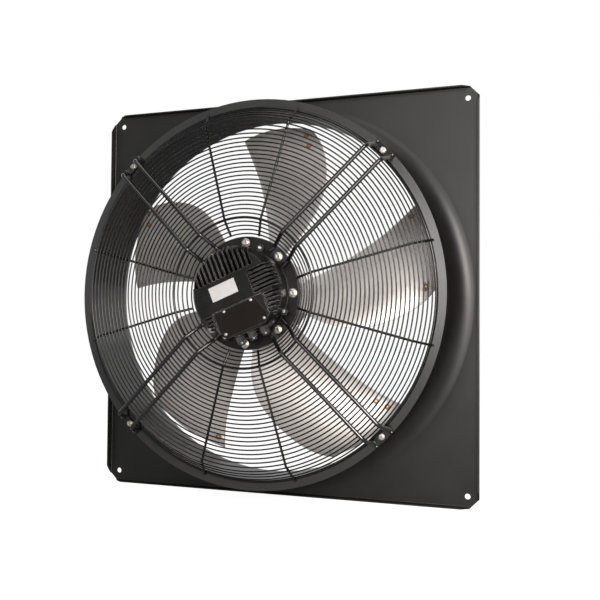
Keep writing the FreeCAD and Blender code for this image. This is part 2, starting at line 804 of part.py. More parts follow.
def make_bearings():
    """Rings, balls and cages of the two ball bearings."""
    low, high = bush_rear, bush_rear + s.bearing_width
    middle = (low + high) / 2
    pitch = (s.shaft_radius + bearing_radius) / 2
    groove = s.ball_radius + s.ball_clearance
    outer_land = bearing_radius - s.race_land
    inner_land = s.shaft_radius + s.race_land
    half = (groove * groove - (pitch - inner_land) * (pitch - inner_land)).root()
    outer = turned_piece("bearing_outer_rings", [
        (bearing_radius, low), (bearing_radius, high), (outer_land, high),
        (outer_land, middle + half, -groove), (outer_land, middle - half), (outer_land, low),
    ])
    bore = s.shaft_radius + s.press_gap
    inner = turned_piece("bearing_inner_rings", [
        (bore, low), (inner_land, low), (inner_land, middle - half, -groove),
        (inner_land, middle + half), (inner_land, high), (bore, high),
    ])
    for body in (outer, inner):
        repeat_along(body, [body.Tip], "Z_Axis", s.bearing_spacing, 2)
    balls, cages = [], []
    turns = [FULL_TURN * i / s.ball_count.value for i in range(round(s.ball_count.value))]
    for lift in (0.0, s.bearing_spacing.value):
        depth = middle.value + lift
        width = s.cage_width.value
        thickness = s.cage_thickness.value
        base = Vector(0, 0, depth - width / 2)
        cage = Part.makeCylinder(pitch.value + thickness / 2, width, base)
        cage = cage.cut(Part.makeCylinder(pitch.value - thickness / 2, width, base))
        for turn in turns:
            centre = Rotation(Vector(0, 0, 1), turn).multVec(Vector(pitch.value, 0, depth))
            balls.append(Part.makeSphere(s.ball_radius.value, centre))
            outward = Rotation(Vector(0, 0, 1), turn).multVec(Vector(1, 0, 0))
            window = s.ball_radius.value + s.ball_clearance.value / 2
            cage = cage.cut(Part.makeCylinder(window, 2 * thickness, centre - outward * thickness, outward))
        cages.append(cage)
    return [
        outer, inner,
        shape_piece("bearing_balls", Part.makeCompound(balls)),
        shape_piece("bearing_cages", Part.makeCompound(cages)),
    ]


def make_shaft():
    """Shaft with its clip and the spring washer that preloads the front bearing."""
    front_bearing = bush_rear + s.bearing_spacing
    clip_rear = front_bearing + s.bearing_width + s.press_gap
    clip_front = clip_rear + s.clip_thickness
    neck = s.shaft_radius - s.clip_depth
    groove_front = clip_front + s.press_gap
    shaft_front = groove_front + s.bush_shoulder
    shaft = turned_piece("shaft", [
        (0.0, can_rear), (s.shaft_radius, can_rear), (s.shaft_radius, clip_rear), (neck, clip_rear),
        (neck, groove_front), (s.shaft_radius, groove_front), (s.shaft_radius, shaft_front),
        (0.0, shaft_front),
    ])
    grip = neck + s.press_gap
    clip = turned_piece("shaft_clip", [
        (grip, clip_rear), (grip + s.clip_width, clip_rear), (grip + s.clip_width, clip_front),
        (grip, clip_front),
    ])
    spring_rear = front_bearing - s.preload_thickness
    spring_inner = bearing_radius - s.bush_shoulder
    spring = turned_piece("preload_washer", [
        (spring_inner, spring_rear), (bearing_radius, spring_rear), (bearing_radius, front_bearing),
        (spring_inner, front_bearing),
    ])
    return [shaft, clip, spring]


def make_stator():
    """Laminated core with teeth, and one coil on each tooth."""
    step = FULL_TURN / s.tooth_count.value
    core = new_body("stator_core", step / 2)
    plan = new_sketch(core, "XY_Plane", core_rear)
    draw_circle(plan, 0.0, 0.0, core_radius)
    draw_circle(plan, 0.0, 0.0, bush_radius + s.press_gap)
    pad(core, plan, s.core_length)
    floor = bush_radius + s.yoke_depth
    neck = core_radius - s.shoe_depth
    widen = math.tan(math.radians(step / 2))
    floor_half = floor * widen - s.tooth_width / 2
    neck_half = neck * widen - s.tooth_width / 2
    mouth = s.slot_mouth / 2
    past = core_radius + s.air_gap
    slot = new_sketch(core, "XY_Plane", core_front)
    draw_outline(slot, [
        (floor, -floor_half), (neck, -neck_half), (neck + mouth, -mouth), (past, -mouth),
        (past, mouth), (neck + mouth, mouth), (neck, neck_half), (floor, floor_half),
    ])
    repeat_round(core, [pocket(core, slot, s.core_length)], s.tooth_count)
    coils = new_body("stator_coils")
    coil_rear = floor / math.cos(math.radians(step / 2)) + s.coil_gap
    inner_half = s.tooth_width / 2 + s.coil_gap
    outer_half = inner_half + s.coil_wall
    loop = new_sketch(coils, "YZ_Plane", coil_rear)
    end_rear, end_front = core_rear - s.coil_gap, core_front + s.coil_gap
    draw_box(loop, -outer_half, end_rear - s.coil_wall, outer_half, end_front + s.coil_wall)
    draw_box(loop, -inner_half, end_rear, inner_half, end_front)
    coil = pad(coils, loop, neck - s.coil_gap - coil_rear)
    repeat_round(coils, [coil], s.tooth_count)
    return [core, coils]


def make_rotor():
    """Cup-shaped rotor round the stator, with magnets inside its wall."""
    bore = s.shaft_radius + s.press_gap
    boss = bore + s.boss_wall
    cap_front = can_rear + s.can_cap
    boss_front = can_rear + s.boss_length
    can = turned_piece("rotor_can", [
        (bore, can_rear), (can_radius - s.can_round, can_rear, s.can_round),
        (can_radius, can_rear + s.can_round), (can_radius, can_front), (can_inner, can_front),
        (can_inner, cap_front + s.can_round, s.can_wall - s.can_round),
        (can_inner - s.can_round + s.can_wall, cap_front + s.can_wall), (boss, cap_front + s.can_wall),
        (boss, boss_front), (bore, boss_front),
    ])
    magnets = new_body("rotor_magnets")
    glued = can_inner - s.press_gap
    half = s.magnet_arc.value / 2
    sector = new_sketch(magnets, "XY_Plane", core_rear - s.magnet_overhang)
    draw_outline(sector, [
        (*on_circle(magnet_inner, -half),),
        (*on_circle(glued, -half), glued),
        (*on_circle(glued, half),),
        (*on_circle(magnet_inner, half), -magnet_inner),
    ])
    magnet = pad(magnets, sector, s.core_length + s.magnet_overhang * 2)
    repeat_round(magnets, [magnet], s.magnet_count)
    hub = turned_piece("impeller_hub", [
        (can_radius + s.press_gap, hub_rear), (hub_radius, hub_rear),
        (hub_radius, hub_front), (can_radius + s.press_gap, hub_front),
    ])
    return [can, magnets, hub]


def blade_middle(station, chord):
    """Give a point of a blade's middle surface for a station and a share of the chord."""
    share, rear_angle, rear_depth, front_angle, front_depth = station
    root = hub_radius.value + s.blade_seat.value
    radius = root + share * (tip_radius.value - root)
    spread = rear_angle - front_angle
    bow = math.radians(spread) * radius * s.blade_camber.value * 4 * chord * (1 - chord)
    turn = math.radians(rear_angle - spread * chord)
    depth = hub_rear.value + rear_depth + (front_depth - rear_depth) * chord + bow
    return Vector(radius * math.cos(turn), radius * math.sin(turn), depth)


def blade_station(share):
    """Interpolate the blade's edges at a share of its span."""
    for low, high in zip(BLADE_STATIONS, BLADE_STATIONS[1:]):
        if share <= high[0]:
            mix = (share - low[0]) / (high[0] - low[0])
            return tuple(a + (b - a) * mix for a, b in zip(low, high))
    return BLADE_STATIONS[-1]


def blade_normal(station, chord):
    """Give the forward normal of a blade, held square to the radius."""
    step = 0.01
    along = blade_middle(station, chord + step) - blade_middle(station, chord - step)
    outward = blade_middle(station, chord)
    outward.z = 0
    normal = outward.cross(along)
    return normal.normalize() * math.copysign(1.0, normal.z)


def blade_thickness(station, chord):
    """Give the thickness of a blade, full in the middle and thin at its edges."""
    share = station[0]
    full = s.blade_root_thickness.value * (1 - share) + s.blade_tip_thickness.value * share
    edge = s.blade_edge_share.value
    return full * (edge + (1 - edge) * 4 * chord * (1 - chord))


def blade_skin(side):
    """Interpolate one face of the blade through its stations."""
    grid = []
    for station in BLADE_STATIONS:
        line = []
        for step in range(CHORD_STEPS + 1):
            chord = step / CHORD_STEPS
            half = blade_thickness(station, chord) / 2
            line.append(blade_middle(station, chord) + blade_normal(station, chord) * half * side)
        grid.append(line)
    skin = Part.BSplineSurface()
    skin.interpolate(grid)
    return skin


def make_blade_solid(front, rear):
    """Close two blade faces with ruled edges."""
    faces = [front.toShape(), rear.toShape()]
    u0, u1, v0, v1 = front.bounds()
    p0, p1, q0, q1 = rear.bounds()
    pairs = [(front.uIso(u0), rear.uIso(p0)), (front.uIso(u1), rear.uIso(p1)),
             (front.vIso(v0), rear.vIso(q0)), (front.vIso(v1), rear.vIso(q1))]
    for first, second in pairs:
        faces.append(Part.makeRuledSurface(first.toShape(), second.toShape()))
    shell = Part.makeShell(faces)
    shell.sewShape()
    solid = Part.makeSolid(shell)
    if solid.Volume < 0:
        solid.reverse()
    return solid


def rivet_blade(blade, front, rear, places):
    """Drill a blade at its rivet places, and give it with the rivets."""
    rivets = []
    shank, head = s.rivet_shank.value, s.rivet_head.value
    gap, height = s.rivet_gap.value, s.rivet_head_height.value
    for share, chord in places:
        before = front.value(*front.parameter(blade_middle(blade_station(share), chord)))
        behind = rear.value(*rear.parameter(before))
        centre = (before + behind) * 0.5
        half = (before - behind).Length / 2 + gap
        normal = (before - behind).normalize()
        rivet = Part.makeCylinder(shank, 2 * half, centre - normal * half, normal)
        for side in (-1, 1):
            cap = Part.makeCylinder(head, height, centre + normal * half * side, normal * side)
            rivet = rivet.fuse(cap)
        rivets.append(rivet)
        hole = Part.makeCylinder(shank + gap, 4 * half, centre - normal * half * 2, normal)
        blade = blade.cut(hole)
    return blade, rivets


def make_impeller_blades():
    """Blades on the hub, with balancing rivets near their tips."""
    front, rear = blade_skin(1), blade_skin(-1)
    plain = make_blade_solid(front, rear)
    pieces, group = [], []
    axis = Vector(0, 0, 1)
    for index in range(round(s.blade_count.value)):
        turn = FIRST_BLADE_ANGLE + FULL_TURN * index / s.blade_count.value
        places = RIVET_PLACES[index % len(RIVET_PLACES)]
        blade, rivets = rivet_blade(plain, front, rear, places)
        pieces.append(shape_piece("blade_%d" % (index + 1), blade, turn))
        group += [rivet.rotated(Vector(), axis, turn) for rivet in rivets]
    pieces.append(shape_piece("tip_rivets", Part.makeCompound(group)))
    return pieces


def make_electronics_housing():
    """Finned housing over the electronics, with a terminal chamber in its lower part."""
    body = new_body("electronics_housing", s.housing_tilt.value)
    slope_foot = housing_top - s.housing_slope
    face_radius = housing_radius - s.housing_slope_width
    spin(body, [
        (0.0, cavity_top), (cavity_radius, cavity_top), (cavity_radius, housing_base),
        (housing_radius, housing_base), (housing_radius, slope_foot),
        (face_radius, housing_top), (0.0, housing_top),
    ])
    far = housing_radius + s.ear_radius
    ear = new_sketch(body, "XY_Plane", housing_base)
    draw_circle(ear, *on_circle(ear_circle, DIAGONAL), s.ear_radius)
    ears = [pad(body, ear, s.ear_height)]
    repeat_round(body, ears, ARM_COUNT)
    post = new_sketch(body, "XY_Plane", cavity_top - s.post_length)
    draw_circle(post, *on_circle(s.post_circle, DIAGONAL), s.post_radius)
    repeat_round(body, [pad(body, post, s.post_length)], ARM_COUNT)
    screw_hole = new_sketch(body, "XY_Plane", housing_base + s.ear_height)
    draw_circle(screw_hole, *on_circle(ear_circle, DIAGONAL), s.housing_screw_shank / 2 + s.bolt_clearance)
    repeat_round(body, [pocket(body, screw_hole, s.ear_height)], ARM_COUNT)
    inner_clear = new_sketch(body, "XY_Plane", cavity_top - s.post_length)
    draw_circle(inner_clear, 0.0, 0.0, cavity_radius)
    pocket(body, inner_clear, s.housing_height)

    long_fins = new_sketch(body, "XY_Plane", housing_top)
    draw_box(long_fins, -s.long_fin_reach, s.band_top, s.long_fin_slot - s.long_fin_reach, far)
    long_slot = pocket(body, long_fins, s.fin_depth)
    long_row = s.long_fin_pitch * (s.long_fin_count - 1)
    repeat_along(body, [long_slot], "X_Axis", long_row, s.long_fin_count)
    beside_cover = s.cover_half_foot + s.side_fin_slot
    beside_band = s.side_fin_slot - s.band_foot
    below_band = -s.band_foot - s.side_fin_pitch * s.side_fin_count
    for start, end, lowest in (
        (s.side_fin_start, far, beside_band),
        (beside_cover, far, below_band),
        (-far, -beside_cover, below_band),
    ):
        side_fins = new_sketch(body, "XY_Plane", housing_top)
        draw_box(side_fins, start, lowest, end, lowest + s.side_fin_slot)
        side_slot = pocket(body, side_fins, s.fin_depth)
        side_row = s.side_fin_pitch * (s.side_fin_count - 1)
        repeat_along(body, [side_slot], "Y_Axis", side_row, s.side_fin_count)

    seat = new_sketch(body, "XY_Plane", housing_top)
    seat_half = s.cover_half_foot + s.cover_inset
    draw_box(seat, -seat_half, -far, seat_half, -s.band_foot)
    pocket(body, seat, housing_top - cover_seat)
    recess = new_sketch(body, "XY_Plane", cover_seat)
    draw_box(recess, -s.gland_pad_half, -far, s.gland_pad_half, -gland_face)
    pocket(body, recess, cover_seat - gland_depth + s.gland_pad_width / 2)
    chamber = new_sketch(body, "XY_Plane", cover_seat)
    draw_box(chamber, *chamber_plan())
    pocket(body, chamber, s.chamber_depth)
    for place in cover_screw_places():
        tapped = new_sketch(body, "XY_Plane", cover_seat)
        draw_circle(tapped, *place, s.cover_screw_shank / 2 + s.bolt_clearance)
        pocket(body, tapped, s.chamber_depth / 2)
    bores = new_sketch(body, "XZ_Plane", gland_face)
    draw_circle(bores, -s.gland_spacing, gland_depth, s.gland_bore + s.bolt_clearance)
    first_bore = pocket(body, bores, gland_face + chamber_plan()[1])
    gland_row = s.gland_spacing * (s.gland_count - 1)
    repeat_along(body, [first_bore], "X_Axis", gland_row, s.gland_count)
    return body


def chamber_plan():
    """Give the left, bottom, right and top of the terminal chamber."""
    half = s.cover_half_top
    top = -s.band_foot - s.chamber_wall
    return (-half, s.chamber_wall * 1.7 - housing_radius, half, top)


def cover_corners():
    """Give the six corners of the terminal cover, from its foot round to its left side."""
    top = -s.band_foot - s.cover_inset / 2
    foot = s.cover_lip - gland_face
    foot_half = (cover_radius * cover_radius - foot * foot).root()
    side = s.cover_half_foot
    shoulder = foot + s.cover_corner
    return [
        (-foot_half, foot), (foot_half, foot), (side, shoulder),
        (s.cover_half_top, top), (-s.cover_half_top, top), (-side, shoulder),
    ]


def cover_screw_places():
    """Give the four screw places of the terminal cover."""
    _, _, shoulder, head, _, _ = cover_corners()
    head_half = head[0] - s.cover_screw_edge
    foot_half = shoulder[0] - s.cover_screw_edge - s.cover_lip
    head_level = head[1] - s.cover_screw_inset
    foot_level = shoulder[1] - s.cover_screw_drop
    return [
        (head_half, head_level), (-head_half, head_level),
        (foot_half, foot_level), (-foot_half, foot_level),
    ]


def make_terminal_cover():
    """Terminal cover with its gasket and screws."""
    tilt = s.housing_tilt.value
    gasket = new_body("cover_gasket", tilt)
    cover = new_body("terminal_cover", tilt)
    screws = new_body("cover_screws", tilt)
    cover_base = cover_seat + s.gasket_thickness
    cover_top = cover_base + s.cover_thickness
    for body, base, length in (
        (gasket, cover_seat, s.gasket_thickness),
        (cover, cover_base, s.cover_thickness),
    ):
        plan = new_sketch(body, "XY_Plane", base)
        draw_outline(plan, cover_corners())
        for place in cover_screw_places():
            draw_circle(plan, *place, s.cover_screw_shank / 2 + s.bolt_clearance)
        if body is gasket:
            draw_box(plan, *chamber_plan())
        pad(body, plan, length)
    for place in cover_screw_places():
        reach = cover_top - cover_seat + s.chamber_depth / 2 - s.gasket_thickness
        layer(screws, place, cover_top - reach, reach, s.cover_screw_shank)
        layer(screws, place, cover_top, s.cover_screw_height, s.cover_screw_head)
    return [gasket, cover, screws]


def make_housing_fasteners():
    """Gasket under the housing and the screws through its ears."""
    gasket = turned_piece("housing_gasket", [
        (cavity_radius, flange_front), (housing_radius, flange_front),
        (housing_radius, housing_base), (cavity_radius, housing_base),
    ])
    screws = new_body("housing_screws", s.housing_tilt.value)
    place = on_circle(ear_circle, DIAGONAL)
    seat = housing_base + s.ear_height
    shank = layer(screws, place, flange_back, seat - flange_back, s.housing_screw_shank)
    head = layer(screws, place, seat, s.housing_screw_height, s.housing_screw_head)
    repeat_round(screws, [shank, head], ARM_COUNT)
    return [gasket, screws]


def make_glands():
    """Cable glands in the lower wall: threaded body, cap nut and closing plug."""
    turned_out = Placement(Vector(-s.gland_spacing.value, -gland_face.value, gland_depth.value),
                           Rotation(Vector(1, 0, 0), 90))
    row = s.gland_spacing * (s.gland_count - 1)
    inside = gland_face + chamber_plan()[1]
    pieces = []
    body = new_body("gland_bodies")
    thread = layer(body, (0.0, 0.0), -inside, inside, s.gland_bore * 2, s.gland_bore)
    collar = layer(body, (0.0, 0.0), 0.0, s.gland_reach, s.gland_body * 2, s.gland_bore, hexagonal=True)
    neck = layer(body, (0.0, 0.0), s.gland_reach, s.gland_collar, s.gland_bore * 2, s.gland_bore)
    repeat_along(body, [thread, collar, neck], "X_Axis", row, s.gland_count)
    nut = new_body("gland_nuts")
    nut_bore = s.gland_bore * 2 + s.bolt_clearance * 2
    ring = layer(nut, (0.0, 0.0), s.gland_reach, s.gland_collar, s.gland_body * 2, nut_bore, hexagonal=True)
    dome_base = s.gland_reach + s.gland_collar
    dome = layer(nut, (0.0, 0.0), dome_base, s.gland_cap / 2, s.gland_body * 1.7, s.gland_bore)
    repeat_along(nut, [ring, dome], "X_Axis", row, s.gland_count)
    plug = new_body("gland_plugs")
    stem = s.gland_bore - s.bolt_clearance * 2
    fill = layer(plug, (0.0, 0.0), s.gland_reach, s.gland_collar + s.gland_cap / 2, stem)
    repeat_along(plug, [fill], "X_Axis", row, s.gland_count)
    for piece in (body, nut, plug):
        piece.Placement = facing(s.housing_tilt.value) * turned_out
        pieces.append(piece)
    return pieces


def make_electronics():
    """Circuit board on the housing posts, its capacitors, the terminal block and the blank label."""
    tilt = s.housing_tilt.value
    board_top = cavity_top - s.post_length
    board_base = board_top - s.board_thickness
    board = new_body("control_board", tilt)
    layer(board, (0.0, 0.0), board_base, s.board_thickness, (cavity_radius - s.board_margin) * 2)
    capacitors = new_body("capacitors", tilt)
    place = on_circle(s.capacitor_circle, 0.0)
    height = s.capacitor_height
    can = layer(capacitors, place, board_base - height, height, s.capacitor_radius * 2)
    repeat_round(capacitors, [can], s.capacitor_count)
    terminals = new_body("terminal_block", tilt)
    left, bottom, right, top = chamber_plan()
    plan = new_sketch(terminals, "XY_Plane", cover_seat - s.chamber_depth)
    gap = s.terminal_gap
    draw_box(plan, left + gap, bottom + gap, right - gap, top - gap)
    pad(terminals, plan, s.terminal_height)
    label = new_body("rating_plate", tilt)
    plate = new_sketch(label, "XY_Plane", housing_top)
    half = s.label_length / 2
    draw_box(plate, -s.label_shift - half, s.label_rise - s.label_width, half - s.label_shift, s.label_rise)
    pad(label, plate, s.label_thickness)
    return [board, capacitors, terminals, label]


def check_and_write(pieces):
    """Stop on any failed feature, then write one file for each sub-part."""
    doc.recompute()
    for feature in doc.Objects:
        if "Invalid" in feature.State or "Error" in feature.State:
            raise ValueError("failed feature: %s %s" % (feature.Name, feature.State))
    os.makedirs("parts", exist_ok=True)
    for piece in pieces:
        if piece.Shape.isNull() or not piece.Shape.isValid() or not piece.Shape.Solids:
            raise ValueError("bad shape: " + piece.Label)
    for piece in pieces:
        piece.Shape.exportStep("parts/%s.step" % piece.Label)
        print("%-22s %3d solids %12.0f mm3" % (piece.Label, len(piece.Shape.Solids), piece.Shape.Volume))


pieces = [make_wall_ring(), *make_guard_rings(), make_guard_hoops(), make_guard_spokes()]
for number in range(ARM_COUNT):
    turn = DIAGONAL + FULL_TURN * number / ARM_COUNT
    pieces.append(make_support_arm("support_arm_%d" % (number + 1), turn))
pieces += make_foot_fasteners()
pieces.append(make_stator_flange())
pieces += make_flange_fasteners()
pieces += make_bearings()
pieces += make_shaft()
pieces += make_stator()
pieces += make_rotor()
pieces += make_impeller_blades()
pieces.append(make_electronics_housing())
pieces += make_housing_fasteners()
pieces += make_terminal_cover()
pieces += make_glands()
pieces += make_electronics()
check_and_write(pieces)
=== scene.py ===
"""Looks of an axial fan with a square wall ring, built on its CAD frame.

Sizes are in mm unless the words beside them say otherwise. A depth runs forward from the rear mounting
face, and an angle about the fan axis is in degrees from +X towards +Z.
"""

import logging
import math
from collections.abc import Sequence
from dataclasses import dataclass
from enum import Enum

import bmesh
import bpy
from mathutils import Matrix, Vector


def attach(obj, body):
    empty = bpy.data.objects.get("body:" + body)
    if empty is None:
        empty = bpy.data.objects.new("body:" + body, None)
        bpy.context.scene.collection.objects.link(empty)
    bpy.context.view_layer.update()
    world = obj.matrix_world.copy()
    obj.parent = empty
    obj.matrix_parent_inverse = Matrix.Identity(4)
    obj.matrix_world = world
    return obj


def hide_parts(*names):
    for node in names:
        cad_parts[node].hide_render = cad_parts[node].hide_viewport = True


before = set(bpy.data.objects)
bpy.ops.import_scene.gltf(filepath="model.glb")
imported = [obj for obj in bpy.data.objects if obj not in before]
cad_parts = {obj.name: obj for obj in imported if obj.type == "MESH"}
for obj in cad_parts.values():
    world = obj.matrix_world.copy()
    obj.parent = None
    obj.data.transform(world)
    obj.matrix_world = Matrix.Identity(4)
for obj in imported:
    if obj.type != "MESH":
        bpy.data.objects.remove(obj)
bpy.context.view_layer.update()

log = logging.getLogger("axial_fan")
Pair = tuple[float, float]
Triple = tuple[float, float, float]
Profile = Sequence[Pair]
Points = list[Vector]
Socket = bpy.types.NodeSocket

MM = 0.001
FRONT = Vector((0.0, -1.0, 0.0))
WHITE = (1.0, 1.0, 1.0, 1.0)
UNIT = (0.0, 1.0)
HOUSING_TILT = math.radians(22.5)
SAME_CORNER = 0.005
SHARP_EDGE = math.radians(35.0)
BEND_STEPS = 6
CORNER_STEPS = 5
TIGHT_CORNER = 0.4


def even_turns(count: int) -> list[float]:
    """Share a full turn into equal steps, in radians."""
    return [math.tau * step / count for step in range(count)]


TURNS = even_turns(36)


def quarters(first: float) -> list[tuple[int, float]]:
    """Number the four places of a pattern about the fan axis, and give their angles."""
    return [(index, first + 90.0 * index) for index in range(4)]


def spot(radius: float, angle: float, depth: float) -> Vector:
    """Give a point of the fan in metres, from its radius, angle and depth."""
    turn = math.radians(angle)
    return Vector((radius * math.cos(turn), -depth, radius * math.sin(turn))) * MM


def on_face(across: float, up: float, depth: float) -> Vector:
    """Give a point of the tilted electronics housing.

    Args:
        across: distance along the housing's own level direction.
        up: distance along its own upright direction.
        depth: depth of the point.

    Returns:
        The point in metres.
    """
    x = across * math.cos(HOUSING_TILT) - up * math.sin(HOUSING_TILT)
    z = across * math.sin(HOUSING_TILT) + up * math.cos(HOUSING_TILT)
    return Vector((x, -depth, z)) * MM


def hexagon_reach(flats: float, turn: float) -> float:
    """Give the radius of a hexagon at a turn in radians."""
    sixth = math.pi / 3
    return flats / 2 / math.cos((turn + sixth / 2) % sixth - sixth / 2)


@dataclass(frozen=True)
class Seat:
    """Where a turned or hexagonal shape stands, with its axis and one direction across it."""

    foot: Vector
    axis: Vector
    across: Vector

    def at(self, radius: float, turn: float, height: float) -> Vector:
        """Give a point round the axis.

        Args:
            radius: distance from the axis.
            turn: angle about the axis in radians.
            height: height above the foot.

        Returns:
            The point in metres.
        """
        side = self.axis.cross(self.across)
        flat = self.across * math.cos(turn) + side * math.sin(turn)
        return self.foot + (self.axis * height + flat * radius) * MM

    def round(self, radius: float, height: float) -> Points:
        """Give a circle of points round the axis."""
        return [self.at(radius, turn, height) for turn in TURNS]

    def stack(self, profile: Profile) -> list[Points]:
        """Give a circle of points for each radius and height of a profile."""
        return [self.round(radius, height) for radius, height in profile]

    def hexagon(self, flats: float, height: float, fall: float = 0.0) -> Points:
        """Give a hexagon of points, lower by `fall` for each mm that they stand beyond the flats."""
        reaches = [(hexagon_reach(flats, turn), turn) for turn in TURNS]
        return [self.at(reach, turn, height - fall * (reach - flats / 2)) for reach, turn in reaches]


def front_seat(foot: Vector, turn: float = 0.0) -> Seat:
    """Give a seat that points to the front, turned by some degrees."""
    swing = math.radians(turn)
    return Seat(foot, FRONT, Vector((math.cos(swing), 0.0, math.sin(swing))))


def corner_sides(before: Vector, corner: Vector, after: Vector) -> tuple[Vector, Vector, float]:
    """Give the directions from a corner to both its neighbours, and half the angle between them."""
    back, ahead = (before - corner).normalized(), (after - corner).normalized()
    return back, ahead, back.angle(ahead) / 2


def rounded_path(corners: Points, bend: float) -> list[Pair]:
    """Round the inner corners of a flat line.

    Args:
        corners: points as (radius, depth) vectors.
        bend: bend radius.

    Returns:
        Radius and depth of the points of the rounded line.
    """
    points = [tuple(corners[0])]
    for before, corner, after in zip(corners, corners[1:], corners[2:]):
        back, ahead, half = corner_sides(before, corner, after)
        middle = corner + (back + ahead).normalized() * (bend / math.sin(half))
        start, end = (corner + side * (bend / math.tan(half)) - middle for side in (back, ahead))
        points += [tuple(middle + start.slerp(end, step / BEND_STEPS)) for step in range(BEND_STEPS + 1)]
    points.append(tuple(corners[-1]))
    return points


def inset_outline(corners: Profile, inset: float, radius: float) -> list[Pair]:
    """Move a convex outline inwards and round its corners.

    Args:
        corners: its corners, counter-clockwise.
        inset: how far it moves inwards.
        radius: corner radius before it moves.

    Returns:
        The points of the new outline.
    """
    points = []
    bend = max(radius - inset, TIGHT_CORNER)
    around = [Vector(corner) for corner in corners]
    for index, corner in enumerate(around):
        back, ahead, half = corner_sides(around[index - 1], corner, around[(index + 1) % len(around)])
        inward = (back + ahead).normalized()
        middle = corner + inward * ((inset + bend) / math.sin(half))
        start = Vector((-back.y, back.x)) * -bend
        end = Vector((-ahead.y, ahead.x)) * bend
        start, end = (start, end) if start.dot(inward) < 0 else (-start, -end)
        shares = [step / CORNER_STEPS for step in range(CORNER_STEPS + 1)]
        points += [tuple(middle + start.slerp(end, share)) for share in shares]
    return points


# Finishes


class Grain(Enum):
    """How the fine texture of a finish runs."""

    EVEN = "the same in every direction"
    DRAWN = "faint lines round the fan axis"


# Numbers of the colour sockets of Blender's mix node
MIX_FIRST, MIX_SECOND, MIX_RESULT = 6, 7, 2


class Net:
    """Adds and joins the nodes of one node tree."""

    def __init__(self, tree: bpy.types.NodeTree) -> None:
        """Keep the tree."""
        self.tree = tree

    def add(self, kind: str, *parts: Socket, **settings: object) -> bpy.types.Node:
        """Add a node, set its properties and input values, and join values to its first inputs.

        Args:
            kind: the node's type name after "ShaderNode".
            parts: the values for its first inputs.
            settings: property names, or input names in small letters.

        Returns:
            The new node.
        """
        node = self.tree.nodes.new("ShaderNode" + kind)
        for key, value in settings.items():
            if hasattr(node, key):
                setattr(node, key, value)
            else:
                node.inputs[key.title()].default_value = value
        for part, into in zip(parts, node.inputs):
            self.join(part, into)
        return node

    def join(self, out: Socket, into: Socket) -> None:
        """Link an output to an input."""
        self.tree.links.new(out, into)

    def noise(self, where: Socket, **settings: float) -> Socket:
        """Give a noise from 0 to 1 that follows some coordinates."""
        return self.add("TexNoise", where, **settings).outputs["Fac"]

    def vector(self, *parts: Socket) -> Socket:
        """Put a vector together from its X, Y and Z, or from the first of them."""
        return self.add("CombineXYZ", *parts).outputs[0]

    def ranged(self, out: Socket, band: Pair, to: Pair = UNIT) -> Socket:
        """Map a value from one band to another, held at both ends.

        Args:
            out: the value.
            band: where the value starts and ends.
            to: the results there.

        Returns:
            The mapped value.
        """
        node = self.add("MapRange", out)
        for index, value in enumerate((*band, *to), start=1):
            node.inputs[index].default_value = value
        return node.outputs[0]

    def scaled(self, out: Socket, factor: float) -> Socket:
        """Scale a value that is held between 0 and 1."""
        return self.ranged(out, UNIT, (0.0, factor))

    def mixed(self, share: Socket, first: Socket | Triple, second: Triple) -> Socket:
        """Mix two colours.

        Args:
            share: how much of the second colour shows.
            first: a colour or a socket.
            second: a colour.

        Returns:
            The mixed colour.
        """
        node = self.add("Mix", share, data_type="RGBA")
        if isinstance(first, Socket):
            self.join(first, node.inputs[MIX_FIRST])
        else:
            node.inputs[MIX_FIRST].default_value = (*first, 1.0)
        node.inputs[MIX_SECOND].default_value = (*second, 1.0)
        return node.outputs[MIX_RESULT]

    def paired(self, operation: str, first: Socket, second: Socket) -> Socket:
        """Give the result of a math operation on two values."""
        return self.add("Math", first, second, operation=operation).outputs[0]

    def product(self, first: Socket, second: Socket) -> Socket:
        """Multiply two values."""
        return self.paired("MULTIPLY", first, second)

    def larger(self, first: Socket, second: Socket) -> Socket:
        """Give the larger of two values."""
        return self.paired("MAXIMUM", first, second)


# Settings of noise, lines and lightened edges that all finishes share; the edges are rubbed bare on some
# finishes and a painted highlight on others
FINE_DETAIL = 3.0
BROAD_DETAIL = 4.0
BROAD_ROUGHNESS = 0.6
PATCH_BAND = (0.32, 0.68)
SPECK_BAND = (0.55, 0.8)
SPECK_SHARE = 0.45
ROUGH_BAND = (0.3, 0.7)
BUMP_STRENGTH = 0.6
LINE_TURN = 0.03
LINE_DEPTH = 0.2
EDGE_SAMPLES = 4
EDGE_BAND = (0.94, 0.72)
EDGE_PATCH_BAND = (0.35, 0.6)
EDGE_PATCH_LEAST = 0.35


